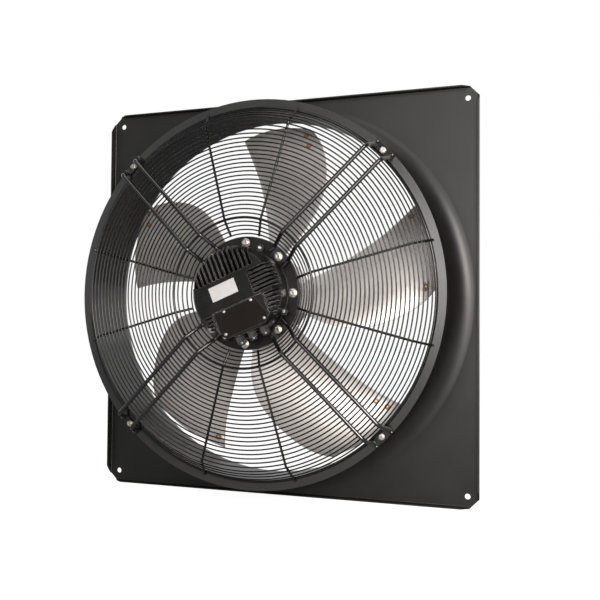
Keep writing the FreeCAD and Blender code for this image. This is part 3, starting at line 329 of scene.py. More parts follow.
@dataclass(frozen=True)
class Finish:
    """One surface finish, painted by procedural nodes."""

    name: str
    dark: Triple
    light: Triple
    rough: Pair
    grain: Grain = Grain.EVEN
    grain_scale: float = 900.0
    patch_scale: float = 9.0
    relief: float = 0.03
    metallic: float = 0.0
    sheen_level: float = 0.5
    # Colour, strength and width of lightened edges: rubbed bare on some finishes, a painted highlight on
    # others
    worn_and_highlit: Triple = (0.2, 0.2, 0.2)
    wear_and_highlight: float = 0.0
    wear_and_highlight_width: float = 0.8

    def material(self) -> bpy.types.Material:
        """Give the finish's material, made on first use.

        Returns:
            The material.
        """
        label = "finish_" + self.name
        made = bpy.data.materials.get(label)
        if made:
            return made
        made = bpy.data.materials.new(label)
        made.use_nodes = True
        net = Net(made.node_tree)
        shader = made.node_tree.nodes["Principled BSDF"]
        shader.inputs["Metallic"].default_value = self.metallic
        shader.inputs["Specular IOR Level"].default_value = self.sheen_level
        where = net.add("TexCoord").outputs["Object"]
        fine = net.noise(self.place(net, where), scale=self.grain_scale, detail=FINE_DETAIL)
        broad = net.noise(where, scale=self.patch_scale, detail=BROAD_DETAIL, roughness=BROAD_ROUGHNESS)
        colour = net.mixed(net.ranged(broad, PATCH_BAND), self.dark, self.light)
        colour = net.mixed(net.ranged(fine, SPECK_BAND, (0.0, SPECK_SHARE)), colour, self.light)
        # Lighter edges: rubbed bare on some finishes, a painted highlight on others
        if self.wear_and_highlight:
            colour = net.mixed(self.worn_and_highlit_edges(net, broad), colour, self.worn_and_highlit)
        net.join(colour, shader.inputs["Base Color"])
        half_rough = (self.rough[0] / 2, self.rough[1] / 2)
        halves = [net.ranged(noise, ROUGH_BAND, half_rough) for noise in (fine, broad)]
        net.join(net.paired("ADD", *halves), shader.inputs["Roughness"])
        bump = net.add("Bump", strength=BUMP_STRENGTH, distance=self.relief * MM)
        net.join(fine, bump.inputs["Height"])
        net.join(bump.outputs["Normal"], shader.inputs["Normal"])
        return made

    def place(self, net: Net, where: Socket) -> Socket:
        """Give the coordinates that the fine texture follows.

        Args:
            net: the material's nodes.
            where: the coordinates of the object.

        Returns:
            The coordinates.
        """
        if self.grain is Grain.EVEN:
            return where
        x, y, z = net.add("SeparateXYZ", where).outputs
        radius = net.add("VectorMath", net.vector(x, z), operation="LENGTH").outputs["Value"]
        turn = net.paired("ARCTAN2", z, x)
        return net.vector(radius, net.scaled(turn, LINE_TURN), net.scaled(y, LINE_DEPTH))

    def worn_and_highlit_edges(self, net: Net, patches: Socket) -> Socket:
        """Find the edges that are painted lighter: rubbed bare on some finishes, a painted highlight on
        others.

        Args:
            net: the material's nodes.
            patches: a broad noise that breaks the lightened edges up.

        Returns:
            How far the edge is lightened, from 0 to 1.
        """
        rounded = net.add("Bevel", samples=EDGE_SAMPLES, radius=self.wear_and_highlight_width * MM).outputs[0]
        sharp = net.add("NewGeometry").outputs["Normal"]
        meet = net.add("VectorMath", rounded, sharp, operation="DOT_PRODUCT").outputs["Value"]
        edge = net.ranged(meet, EDGE_BAND, (0.0, self.wear_and_highlight))
        return net.product(edge, net.ranged(patches, EDGE_PATCH_BAND, (EDGE_PATCH_LEAST, 1.0)))


BLACK_COAT = Finish("black_powder_coat", (0.007, 0.0068, 0.0066), (0.012, 0.0117, 0.0114), (0.34, 0.42),
                    relief=0.01, worn_and_highlit=(0.12, 0.12, 0.12), wear_and_highlight=0.6, wear_and_highlight_width=1.2)
RIM_COAT = Finish("rim_black_coat", (0.010, 0.010, 0.0102), (0.016, 0.0157, 0.0154), (0.20, 0.28),
                  grain_scale=420.0, relief=0.01, sheen_level=1.0)
BLACK_WIRE = Finish("black_wire_coat", (0.003, 0.003, 0.0032), (0.006, 0.006, 0.0063), (0.10, 0.16),
                    grain_scale=1400.0, relief=0.005)
BLACK_ROD = Finish("black_rod_coat", (0.003, 0.003, 0.0032), (0.007, 0.007, 0.0073), (0.10, 0.16),
                   grain_scale=1100.0, relief=0.005, sheen_level=0.8, worn_and_highlit=(0.1, 0.1, 0.1), wear_and_highlight=0.4)
# The light edge colour is a painted highlight along the fin tops and casting edges
BLACK_CASTING = Finish("black_casting", (0.0035, 0.0034, 0.0034), (0.009, 0.0088, 0.0086), (0.22, 0.34),
                       grain_scale=700.0, patch_scale=26.0, relief=0.04, sheen_level=0.30,
                       worn_and_highlit=(0.46, 0.45, 0.43), wear_and_highlight=1.0, wear_and_highlight_width=1.7)
ZINC = Finish("yellowed_zinc", (0.50, 0.475, 0.42), (0.70, 0.67, 0.60), (0.22, 0.34),
              grain_scale=1800.0, patch_scale=120.0, metallic=1.0, relief=0.01)
BLADE = Finish("metallic_grey_blade", (0.71, 0.68, 0.655), (0.79, 0.76, 0.735), (0.38, 0.46), Grain.DRAWN,
               grain_scale=500.0, patch_scale=6.0, metallic=0.5, relief=0.01,
               worn_and_highlit=(0.78, 0.76, 0.74), wear_and_highlight=0.5)
RIVET = Finish("copper_rivet", (0.27, 0.10, 0.034), (0.44, 0.19, 0.07), (0.30, 0.42),
               grain_scale=2000.0, patch_scale=200.0, metallic=0.4, relief=0.01)
PIN = Finish("rivet_pin_steel", (0.70, 0.52, 0.32), (0.84, 0.68, 0.46), (0.28, 0.40),
             grain_scale=2600.0, patch_scale=220.0, metallic=0.7, relief=0.01)
ROTOR_PAINT = Finish("rotor_paint", (0.012, 0.012, 0.013), (0.022, 0.022, 0.023), (0.36, 0.5))
# The lighter edge colour is a painted highlight along the cover's edges
COVER_PLASTIC = Finish("brown_black_plastic", (0.008, 0.006, 0.005), (0.013, 0.0095, 0.008), (0.20, 0.28),
                       grain_scale=2200.0, relief=0.01, sheen_level=0.16,
                       worn_and_highlit=(0.14, 0.13, 0.12), wear_and_highlight=0.9)
# The light edge colour is a painted highlight on the hexagon facets and edges
GLAND_PLASTIC = Finish("dark_grey_plastic", (0.020, 0.020, 0.021), (0.036, 0.036, 0.038), (0.24, 0.36),
                       grain_scale=2200.0, sheen_level=0.8,
                       worn_and_highlit=(0.34, 0.34, 0.34), wear_and_highlight=1.0, wear_and_highlight_width=1.4)
# The gasket's light grey is a painted highlight: it draws the thin light arc at the seam between housing and
# flange
HIGHLIT_SEAL = Finish("seal_painted_highlight", (0.30, 0.30, 0.29), (0.44, 0.44, 0.43), (0.45, 0.6), grain_scale=1500.0)
RUBBER = Finish("black_rubber", (0.006, 0.006, 0.006), (0.014, 0.014, 0.014), (0.6, 0.78),
                grain_scale=1500.0)
BRIGHT_SCREW = Finish("bright_screw_steel", (0.62, 0.60, 0.57), (0.78, 0.76, 0.72), (0.24, 0.36),
                      grain_scale=2500.0, patch_scale=160.0, metallic=1.0, relief=0.01)
LABEL = Finish("blank_label_film", (0.50, 0.49, 0.485), (0.56, 0.55, 0.545), (0.34, 0.46),
               grain_scale=3000.0, patch_scale=60.0, relief=0.005)
BEARING = Finish("bearing_steel", (0.55, 0.55, 0.56), (0.66, 0.66, 0.67), (0.12, 0.22), Grain.DRAWN,
                 grain_scale=2500.0, metallic=1.0, relief=0.005)
CORE = Finish("core_laminations", (0.2, 0.2, 0.21), (0.32, 0.32, 0.33), (0.35, 0.5),
              grain_scale=2600.0, metallic=0.9, relief=0.01)
COPPER = Finish("enamelled_copper", (0.45, 0.16, 0.07), (0.62, 0.26, 0.12), (0.22, 0.34),
                grain_scale=1600.0, metallic=0.9, relief=0.04)
BOARD = Finish("green_board", (0.012, 0.07, 0.03), (0.02, 0.11, 0.05), (0.3, 0.45), grain_scale=1200.0)
SLEEVE = Finish("capacitor_sleeve", (0.01, 0.012, 0.03), (0.02, 0.024, 0.05), (0.25, 0.35),
                grain_scale=1800.0)
GREY_PLASTIC = Finish("grey_terminal_plastic", (0.28, 0.28, 0.29), (0.36, 0.36, 0.37), (0.4, 0.5),
                      grain_scale=1800.0)
BRASS = Finish("brass_cage", (0.55, 0.38, 0.14), (0.7, 0.52, 0.22), (0.25, 0.36),
               grain_scale=2200.0, metallic=1.0, relief=0.01)
MAGNET = Finish("coated_magnet", (0.05, 0.05, 0.055), (0.09, 0.09, 0.095), (0.35, 0.5),
                grain_scale=1600.0, metallic=0.4)


# Mesh making

BEAD_BANDS = 6
BEAD_TURNS = even_turns(8)


class Piece:
    """Collects the closed shells of one new piece of the fan."""

    def __init__(self, name: str) -> None:
        """Start an empty mesh."""
        self.name = name
        self.mesh = bmesh.new()

    def loft(self, rings: list[Points], closed: bool = False) -> None:
        """Join equal rings of points into a skin, capped at both ends unless it is closed.

        Args:
            rings: loops of points, all of one count.
            closed: whether the last loop joins the first.
        """
        loops = [[self.mesh.verts.new(point) for point in ring] for ring in rings]
        following = loops[1:] + loops[:1] if closed else loops[1:]
        for low, high in zip(loops, following):
            for i in range(len(low)):
                j = (i + 1) % len(low)
                self.mesh.faces.new((low[i], low[j], high[j], high[i]))
        if not closed:
            self.mesh.faces.new(reversed(loops[0]))
            self.mesh.faces.new(loops[-1])

    def turned(self, seat: Seat, profile: Profile) -> None:
        """Add a solid turned about a seat's axis, from the radius and height of its edges."""
        self.loft(seat.stack(profile))

    def collar(self, seat: Seat, section: Profile) -> None:
        """Add a ring turned about a seat's axis, from the radius and height of its section's corners."""
        rings = [[seat.at(radius, turn, height) for radius, height in section] for turn in TURNS]
        self.loft(rings, closed=True)

    def wire(self, path: Points, radius: float, sides: int, closed: bool = False) -> None:
        """Sweep a round wire along a flat path.

        Args:
            path: points of the middle line, in metres, not all on one straight line.
            radius: wire radius.
            sides: points round the wire.
            closed: whether the wire is a ring.
        """
        count = len(path)
        normal = (path[1] - path[0]).cross(path[count // 2] - path[0]).normalized()
        turns = even_turns(sides)
        rings = []
        for i, point in enumerate(path):
            before = path[i - 1] if i or closed else point
            after = path[(i + 1) % count] if i + 1 < count or closed else point
            side = normal.cross((after - before).normalized()).normalized()
            rings.append([point + (normal * math.cos(turn) + side * math.sin(turn)) * (radius * MM)
                          for turn in turns])
        self.loft(rings, closed)

    def bead(self, centre: Vector, along: Vector, up: Vector, sizes: Triple) -> None:
        """Add a small weld bead.

        Args:
            centre: its middle, in metres.
            along: direction of its long axis.
            up: direction of its height.
            sizes: half length, half width and half height.
        """
        across = up.cross(along).normalized()
        length, width, height = (size * MM for size in sizes)
        rings = []
        for band in range(1, BEAD_BANDS):
            polar = math.pi * band / BEAD_BANDS
            middle = centre + along * (length * math.cos(polar))
            wide, high = across * (width * math.sin(polar)), up * (height * math.sin(polar))
            rings.append([middle + wide * math.cos(turn) + high * math.sin(turn) for turn in BEAD_TURNS])
        self.loft(rings)

    def done(self, finish: Finish, body: str, slot: str, *nodes: str, crease: float = 40.0) -> None:
        """Turn the shells into a piece of the fan.

        Args:
            finish: its surface.
            body: the body it moves with.
            slot: the material slot it stands for; not used.
            nodes: the CAD nodes it takes the place of.
            crease: angle in degrees above which an edge stays sharp.
        """
        bmesh.ops.recalc_face_normals(self.mesh, faces=self.mesh.faces)
        for face in self.mesh.faces:
            face.smooth = True
        for edge in self.mesh.edges:
            edge.smooth = edge.calc_face_angle(0.0) < math.radians(crease)
        data = bpy.data.meshes.new(self.name)
        self.mesh.to_mesh(data)
        self.mesh.free()
        made = bpy.data.objects.new(self.name, data)
        bpy.context.scene.collection.objects.link(made)
        data.materials.append(finish.material())
        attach(made, body)
        if nodes:
            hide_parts(*nodes)
        log.info("%s: %d faces", self.name, len(data.polygons))


def dress(finish: Finish, *names: str, soften: float = 0.0) -> None:
    """Give CAD nodes a finish, and round their edges a little.

    Args:
        finish: the surface.
        names: the nodes.
        soften: edge rounding, 0 for none.
    """
    for name in names:
        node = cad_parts[name]
        node.data.materials.clear()
        node.data.materials.append(finish.material())
        if soften:
            weld = node.modifiers.new("joined_faces", "WELD")
            weld.merge_threshold = SAME_CORNER * MM
            rounding = node.modifiers.new("soft_edges", "BEVEL")
            rounding.width = soften * MM
            rounding.segments = 2
            rounding.limit_method = "ANGLE"
            rounding.angle_limit = SHARP_EDGE
            rounding.harden_normals = False
        log.info("%s: %s", name, finish.name)


# Fasteners, whose hexagons share a chamfer: its circle and its start are shares of the flats

CHAMFER_CIRCLE = 0.46
CHAMFER_START = 0.03
CHAMFER_FALL = 0.6


@dataclass(frozen=True)
class HexBolt:
    """Hexagon bolt with a chamfered and dished head, and a collar if it has one."""

    flats: float
    head: float
    shank: float
    collar: float = 0.0
    collar_height: float = 0.0
    collar_edge: float = 0.5
    edge: float = 0.3
    tip: float = 0.9

    def add(self, piece: Piece, seat: Seat, length: float) -> None:
        """Add one bolt.

        Args:
            piece: the piece it goes into.
            seat: its place under the head, pointing to the head.
            length: length of the shank behind the seat.
        """
        neck, rim, crown = self.shank / 2, self.collar / 2, self.flats * CHAMFER_CIRCLE
        base, top = self.collar_height, self.collar_height + self.head
        rings = seat.stack(((neck - self.tip, -length), (neck, self.tip - length), (neck, 0.0)))
        if self.collar:
            rings += seat.stack(((rim, 0.0), (rim, base - 2 * self.edge), (rim - self.collar_edge, base)))
        rings += [seat.hexagon(self.flats - 2 * self.edge, base), seat.hexagon(self.flats, base + self.edge),
                  seat.hexagon(self.flats, top - self.flats * CHAMFER_START, CHAMFER_FALL)]
        dish = ((1.0, 0.0), (0.62, 0.05), (0.52, self.head * 0.16), (0.2, self.head * 0.2))
        piece.loft(rings + seat.stack([(crown * share, top - sink) for share, sink in dish]))


@dataclass(frozen=True)
class HexNut:
    """Hexagon nut with both faces chamfered."""

    flats: float
    height: float
    bore: float
    edge: float = 0.6

    def add(self, piece: Piece, seat: Seat) -> None:
        """Add one nut.

        Args:
            piece: the piece it goes into.
            seat: the middle of its rear face.
        """
        top, hole, crown = self.height, self.bore / 2, self.flats * CHAMFER_CIRCLE
        loops = []
        for turn in TURNS:
            reach = hexagon_reach(self.flats, turn)
            fall = CHAMFER_FALL * (reach - crown)
            section = ((hole, self.edge), (hole, top - self.edge), (hole + self.edge, top), (crown, top),
                       (reach, top - fall), (reach, fall), (crown, 0.0), (hole + self.edge, 0.0))
            loops.append([seat.at(radius, turn, height) for radius, height in section])
        piece.loft(loops, closed=True)


@dataclass(frozen=True)
class Washer:
    """Flat washer with its edges broken."""

    outer: float
    bore: float
    height: float
    edge: float = 0.35

    def add(self, piece: Piece, seat: Seat) -> None:
        """Add one washer.

        Args:
            piece: the piece it goes into.
            seat: the middle of its rear face.
        """
        edge, rim, hole, top = self.edge, self.outer / 2, self.bore / 2, self.height
        section = ((hole, 0.0), (rim - edge, 0.0), (rim, edge), (rim, top - edge),
                   (rim - edge, top), (hole + edge, top), (hole, top - edge))
        piece.collar(seat, section)


@dataclass(frozen=True)
class SocketScrew:
    """Cap screw with a hexagon socket."""

    head: float
    height: float
    shank: float
    socket: float
    socket_floor: float = 0.45
    tip: float = 0.6
    edge: float = 0.3
    crown: Pair = (0.2, 0.7)

    def add(self, piece: Piece, seat: Seat, length: float) -> None:
        """Add one screw.

        Args:
            piece: the piece it goes into.
            seat: its place under the head, pointing to the head.
            length: length of the shank behind the seat.
        """
        neck, rim, top = self.shank / 2, self.head / 2, self.height
        outer, inner = self.crown
        rings = seat.stack((
            (neck - self.tip, -length), (neck, self.tip - length), (neck, 0.0), (rim - self.edge, 0.0),
            (rim, self.edge), (rim, top - 2 * self.edge), (rim - outer, top - outer), (rim - inner, top)))
        rings += [seat.hexagon(self.socket + self.edge, top), seat.hexagon(self.socket, top - outer),
                  seat.hexagon(self.socket, top * self.socket_floor)]
        piece.loft(rings)


@dataclass(frozen=True)
class PanScrew:
    """Pan-head screw with a cross recess."""

    head: float
    height: float
    shank: float
    recess: float
    tip: Pair = (0.5, 0.8)
    edge: float = 0.2
    dome: Profile = ((1.0, 0.4), (0.95, 0.68), (0.82, 0.9), (0.66, 1.0))
    recess_floor: Pair = (0.86, 0.4)

    def cross(self, seat: Seat, size: float, height: float) -> Points:
        """Give the outline of the recess.

        Args:
            seat: the screw's seat.
            size: share of the recess's full size.
            height: height above the seat.

        Returns:
            The points of the outline.
        """
        arms = {0: 1.0, 10: 1.0, 20: 0.58, 30: 0.44, 40: 0.4}
        degrees = [round(math.degrees(turn)) % 90 for turn in TURNS]
        reaches = [arms[min(step, 90 - step)] * self.recess / 2 * size for step in degrees]
        return [seat.at(reach, turn, height) for reach, turn in zip(reaches, TURNS)]

    def add(self, piece: Piece, seat: Seat, length: float) -> None:
        """Add one screw.

        Args:
            piece: the piece it goes into.
            seat: its place under the head, pointing to the head.
            length: length of the shank behind the seat.
        """
        neck, rim = self.shank / 2, self.head / 2
        rings = seat.stack(((neck - self.tip[0], -length), (neck, self.tip[1] - length), (neck, 0.0),
                            (rim - self.edge, 0.0), (rim, self.edge)))
        rings += seat.stack([(rim * reach, self.height * rise) for reach, rise in self.dome])
        size, depth = self.recess_floor
        rings += [self.cross(seat, 1.0, self.height), self.cross(seat, size, self.height * depth)]
        piece.loft(rings)


# Sub-assemblies


@dataclass
class WallRing:
    """Square plate with its drawn nozzle and flat rim."""

    rim_front: float = 215.0
    rim_inside: float = 468.0
    rim_skin: float = 0.2

    def build(self) -> None:
        """Dress the pressed sheet, with the smoother finish of the flat rim."""
        dress(BLACK_COAT, "wall_ring")
        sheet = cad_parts["wall_ring"].data
        sheet.materials.append(RIM_COAT.material())
        for face in sheet.polygons:
            middle = face.center
            on_front = -middle.y > (self.rim_front - self.rim_skin) * MM
            if on_front and math.hypot(middle.x, middle.z) > self.rim_inside * MM:
                face.material_index = 1


@dataclass
class WireGuard:
    """Domed guard of welded wire: thin rings, two hoops and eight spokes."""

    line: Profile = ((147.0, 252.5), (184.0, 279.5), (434.0, 261.0), (466.0, 218.25))
    steps: tuple[int, int, int] = (4, 24, 4)
    group_split: float = 309.5
    ring_wire: float = 3.6
    ring_points: int = 180
    ring_sides: int = 12
    hoop_wire: float = 6.5
    hoop_points: int = 220
    spoke_wire: float = 6.0
    spoke_bend: float = 12.0
    rod_sides: int = 16
    bend_relief: float = 0.75
    weld_gap: float = 0.02
    bead: Triple = (3.4, 1.7, 0.9)
    rim_front: float = 215.0
    spoke_turns: tuple[float, ...] = (15.0, 75.0, 105.0, 165.0, 195.0, 255.0, 285.0, 345.0)

    def forward(self, stretch: int) -> Vector:
        """Give the forward normal of one stretch of the guard line as (radius, depth)."""
        (r0, d0), (r1, d1) = self.line[stretch], self.line[stretch + 1]
        return Vector((d0 - d1, r1 - r0)).normalized()

    def ring_places(self) -> list[tuple[float, float, int]]:
        """List the thin rings.

        Returns:
            Radius, depth and stretch of each ring.
        """
        places = []
        for stretch, steps in enumerate(self.steps):
            (r0, d0), (r1, d1) = self.line[stretch], self.line[stretch + 1]
            for step in range(0 if stretch == 0 else 1, steps):
                share = step / steps
                places.append((r0 + (r1 - r0) * share, d0 + (d1 - d0) * share, stretch))
        shoulder_radius, shoulder_depth = self.line[2]
        places.append((shoulder_radius - self.bend_relief / 2, shoulder_depth - self.bend_relief, 1))
        return places

    def group(self, radius: float, stretch: int) -> str:
        """Name the group that a thin ring belongs to."""
        return "inner" if stretch == 0 else "middle" if radius <= self.group_split else "outer"

    def circle(self, radius: float, depth: float, count: int) -> Points:
        """Give the middle line of one ring."""
        return [spot(radius, 360.0 * i / count, depth) for i in range(count)]

    def spoke_path(self) -> list[Pair]:
        """Find the bent middle line of a spoke in front of the rings.

        Returns:
            Radius and depth of its points.
        """
        lift = (self.ring_wire + self.spoke_wire) / 2 + self.weld_gap
        lines = []
        for stretch in range(len(self.steps)):
            normal = self.forward(stretch)
            lines.append((Vector(self.line[stretch]) + normal * lift, Vector((normal.y, -normal.x))))
        foot_depth = self.rim_front + self.spoke_wire / 2 + self.weld_gap
        lines.append((Vector((0.0, foot_depth)), Vector((1.0, 0.0))))
        corners = [lines[0][0]]
        for (p, u), (q, v) in zip(lines, lines[1:]):
            gap = q - p
            turn = u.x * v.y - u.y * v.x
            corners.append(p + u * ((gap.x * v.y - gap.y * v.x) / turn))
        return rounded_path(corners, self.spoke_bend)

    def build(self) -> None:
        """Make the rings, hoops, spokes and weld beads."""
        rings = self.ring_places()
        for name in ("inner", "middle", "outer"):
            piece = Piece("wire_%s_rings" % name)
            for radius, depth, stretch in rings:
                if self.group(radius, stretch) == name:
                    path = self.circle(radius, depth, self.ring_points)
                    piece.wire(path, self.ring_wire / 2, self.ring_sides, closed=True)
            piece.done(BLACK_WIRE, "frame", "black_wire", "guard_%s_rings" % name)
        self.hoops()
        self.spokes(rings)

    def hoops(self) -> None:
        """Make the two heavier hoops behind the thin rings."""
        setback = (self.hoop_wire - self.ring_wire) / 2
        lean = self.forward(2)
        crown, rim = self.line[1], self.line[3]
        hoops = Piece("wire_hoops")
        for radius, depth in ((crown[0], crown[1] - setback - self.bend_relief),
                              (rim[0] - setback * lean.x, rim[1] - setback * lean.y)):
            path = self.circle(radius, depth, self.hoop_points)
            hoops.wire(path, self.hoop_wire / 2, self.rod_sides, closed=True)
        hoops.done(BLACK_WIRE, "frame", "black_wire", "guard_hoops")

    def spokes(self, rings: list[tuple[float, float, int]]) -> None:
        """Make the spokes, and a weld bead where each crosses a thin ring.

        Args:
            rings: radius, depth and stretch of each thin ring.
        """
        spokes, welds = Piece("wire_spokes"), Piece("spoke_welds")
        path = self.spoke_path()
        for turn in self.spoke_turns:
            spokes.wire([spot(r, turn, d) for r, d in path], self.spoke_wire / 2, self.rod_sides)
            for radius, depth, stretch in rings:
                normal = self.forward(stretch)
                middle = Vector((radius, depth)) + normal * (self.ring_wire / 2)
                up = spot(normal.x, turn, normal.y).normalized()
                along = spot(normal.y, turn, -normal.x).normalized()
                welds.bead(spot(middle.x, turn, middle.y), along.cross(up), up, self.bead)
        spokes.done(BLACK_WIRE, "frame", "black_wire", "guard_spokes")
        welds.done(BLACK_WIRE, "frame", "black_wire")


@dataclass
class SupportArms:
    """Four welded arms that carry the motor on the rim."""

    soften: float = 0.5
    first: float = 45.0
    tab_side: float = 20.4
    tab_fronts: tuple[Triple, ...] = ((116.0, 136.0, 255.0), (471.0, 486.0, 220.0))
    bead: Triple = (3.2, 1.5, 1.3)
    bead_shares: tuple[float, ...] = (0.12, 0.37, 0.63, 0.88)
    bead_lean: float = 0.8
    bolt_circle: float = 477.5
    bolt_seat: float = 220.0
    bolt_twist: float = 17.0
    bolt: HexBolt = HexBolt(13.0, 5.5, 8.0, 16.0, 1.5)
    nut: HexNut = HexNut(13.0, 6.5, 8.2)
    nut_base: float = 205.5
    nut_twist: float = 11.0

    def build(self) -> None:
        """Dress the arms, lay their weld beads and make their foot bolts and nuts."""
        bolts, nuts, welds = Piece("foot_hex_bolts"), Piece("foot_hex_nuts"), Piece("arm_welds")
        for index, angle in quarters(self.first):
            dress(BLACK_ROD, "support_arm_%d" % (index + 1), soften=self.soften)
            twist = self.bolt_twist * index
            front, back = (spot(self.bolt_circle, angle, depth) for depth in (self.bolt_seat, self.nut_base))
            self.bolt.add(bolts, front_seat(front, twist), self.bolt_seat - self.nut_base)
            self.nut.add(nuts, front_seat(back, twist + self.nut_twist))
            self.add_welds(welds, angle)
        bolts.done(ZINC, "frame", "zinc_steel", "foot_bolts")
        nuts.done(ZINC, "frame", "zinc_steel", "foot_nuts")
        welds.done(BLACK_ROD, "frame", "black_rod")

    def add_welds(self, welds: Piece, angle: float) -> None:
        """Lay the beads that join one arm's rods to its tabs.

        Args:
            welds: the piece they go into.
            angle: the arm's angle about the fan axis.
        """
        along = spot(1.0, angle, 0.0).normalized()
        across = spot(1.0, angle + 90.0, 0.0).normalized()
        for near, far, front in self.tab_fronts:
            for side in (-1, 1):
                up = (FRONT - across * (self.bead_lean * side)).normalized()
                for share in self.bead_shares:
                    middle = spot(near + (far - near) * share, angle, front)
                    welds.bead(middle + across * (self.tab_side * side * MM), along, up, self.bead)


@dataclass
class MotorHead:
    """Stator flange, finned electronics housing, cover, glands and label."""

    soften: float = 0.25
    bolt_circle: float = 124.6
    nut_base: float = 232.0
    flange_seat: float = 250.0
    tab_first: float = 45.0
    tab_seat: float = 255.0
    bolt_twist: float = 23.0
    nut_twist: float = 19.0
    bolt: HexBolt = HexBolt(16.0, 6.4, 10.0)
    nut: HexNut = HexNut(16.0, 8.0, 10.2)
    washer: Washer = Washer(22.0, 10.2, 2.0)
    ear_circle: float = 118.0
    ear_first: float = 67.5
    ear_seat: float = 268.0
    ear_thread: float = 28.0
    ear_twist: float = 13.0
    ear_screw: SocketScrew = SocketScrew(9.0, 5.0, 5.0, 4.0)
    cover_outline: Profile = (
        (-50.0, -98.0), (50.0, -98.0), (66.0, -80.0), (46.0, -31.0), (-46.0, -31.0), (-66.0, -80.0))
    cover_edge: Profile = (
        (0.3, 323.0), (0.0, 323.3), (0.0, 327.4), (0.25, 328.2), (0.8, 328.75), (1.6, 329.0))
    cover_corner: float = 4.0
    cover_crease: float = 50.0
    cover_front: float = 329.0
    cover_screws: Profile = ((-37.0, -36.0), (37.0, -36.0), (53.0, -88.0), (-53.0, -88.0))
    cover_thread: float = 21.0
    cover_twist: float = 31.0
    cover_screw: PanScrew = PanScrew(7.6, 2.6, 4.0, 4.4)
    label_outline: Profile = ((-57.0, -6.5), (17.0, -6.5), (17.0, 32.0), (-57.0, 32.0))
    label_edge: Profile = ((0.0, 329.0), (0.0, 329.45), (0.15, 329.6))
    label_corner: float = 2.5
    gland_places: tuple[float, ...] = (-33.0, 0.0, 33.0)
    gland_foot: Pair = (-102.0, 303.0)
    gland_flats: float = 20.0
    gland_edge: float = 0.4
    gland_body_hexagon: Triple = (0.0, 3.6, 0.25)
    gland_neck: Profile = ((9.2, 4.0), (6.0, 4.0), (6.0, 14.0), (3.2, 14.0))
    gland_cap_bore: Pair = (6.1, 4.1)
    gland_cap_hexagon: Triple = (4.1, 13.9, 0.4)
    gland_dome: Profile = (
        (9.2, 14.9), (8.6, 15.3), (8.5, 16.0), (8.5, 18.9), (8.1, 20.1), (7.2, 20.8), (6.0, 21.0),
        (3.6, 21.0), (3.1, 20.6), (3.0, 18.0))

    def build(self) -> None:
        """Dress the castings and make the parts on them."""
        dress(BLACK_CASTING, "stator_flange", "electronics_housing", soften=self.soften)
        dress(RUBBER, "gland_plugs", "cover_gasket")
        # Painted highlight: the gasket is light grey so that the seam shows a thin light arc
        dress(HIGHLIT_SEAL, "housing_gasket")
        self.flange_fasteners("flange", 0.0, self.flange_seat)
        self.flange_fasteners("arm", self.tab_first, self.tab_seat)
        screws = Piece("ear_cap_screws")
        for index, angle in quarters(self.ear_first):
            seat = front_seat(spot(self.ear_circle, angle, self.ear_seat), self.ear_twist * index)
            self.ear_screw.add(screws, seat, self.ear_thread)
        screws.done(ZINC, "frame", "zinc_steel", "housing_screws")
        self.cover()
        self.glands()

    def flange_fasteners(self, name: str, first: float, seat: float) -> None:
        """Make one group of four bolts with their washers and nuts.

        Args:
            name: the group's name.
            first: angle of its first bolt.
            seat: depth that its washers rest on.
        """
        bolts, washers = Piece(name + "_hex_bolts"), Piece(name + "_flat_washers")
        nuts = Piece(name + "_hex_nuts")
        under_head = seat + self.washer.height
        for index, angle in quarters(first):
            twist = first + self.bolt_twist * index
            depths = (under_head, seat, self.nut_base)
            head, rest, base = (spot(self.bolt_circle, angle, depth) for depth in depths)
            self.bolt.add(bolts, front_seat(head, twist), under_head - self.nut_base)
            self.washer.add(washers, front_seat(rest))
            self.nut.add(nuts, front_seat(base, twist + self.nut_twist))
        bolts.done(ZINC, "frame", "zinc_steel", name + "_bolts")
        washers.done(ZINC, "frame", "zinc_steel", name + "_washers")
        nuts.done(ZINC, "frame", "zinc_steel", name + "_nuts")

    def moulding(self, name: str, outline: Profile, edge: Profile, radius: float) -> Piece:
        """Make a flat part of the housing's front face.

        Args:
            name: its name.
            outline: its corners on the face.
            edge: inset and depth of each step of its edge.
            radius: its corner radius.

        Returns:
            The new piece.
        """
        piece = Piece(name)
        piece.loft([[on_face(across, up, depth) for across, up in inset_outline(outline, inset, radius)]
                    for inset, depth in edge])
        return piece

    def cover(self) -> None:
        """Make the terminal cover, its screws and the blank label."""
        lid = self.moulding("moulded_cover", self.cover_outline, self.cover_edge, self.cover_corner)
        lid.done(COVER_PLASTIC, "frame", "black_plastic", "terminal_cover", crease=self.cover_crease)
        screws = Piece("cover_pan_screws")
        for index, (across, up) in enumerate(self.cover_screws):
            seat = front_seat(on_face(across, up, self.cover_front), self.cover_twist * index)
            self.cover_screw.add(screws, seat, self.cover_thread)
        screws.done(BRIGHT_SCREW, "frame", "dark_screw", "cover_screws")
        film = self.moulding("blank_label", self.label_outline, self.label_edge, self.label_corner)
        film.done(LABEL, "frame", "blank_label", "rating_plate")

    def gland_hexagon(self, seat: Seat, low: float, high: float, fall: float) -> list[Points]:
        """Give the rings of a gland's hexagon.

        Args:
            seat: the gland's seat.
            low: height of its lower end.
            high: height of its upper end.
            fall: drop of the upper corners for each mm beyond the flats.

        Returns:
            The rings.
        """
        flats, edge = self.gland_flats, self.gland_edge
        foot = [seat.hexagon(flats - 2 * edge, low), seat.hexagon(flats, low + edge)]
        return foot + [seat.hexagon(flats, high, fall)]

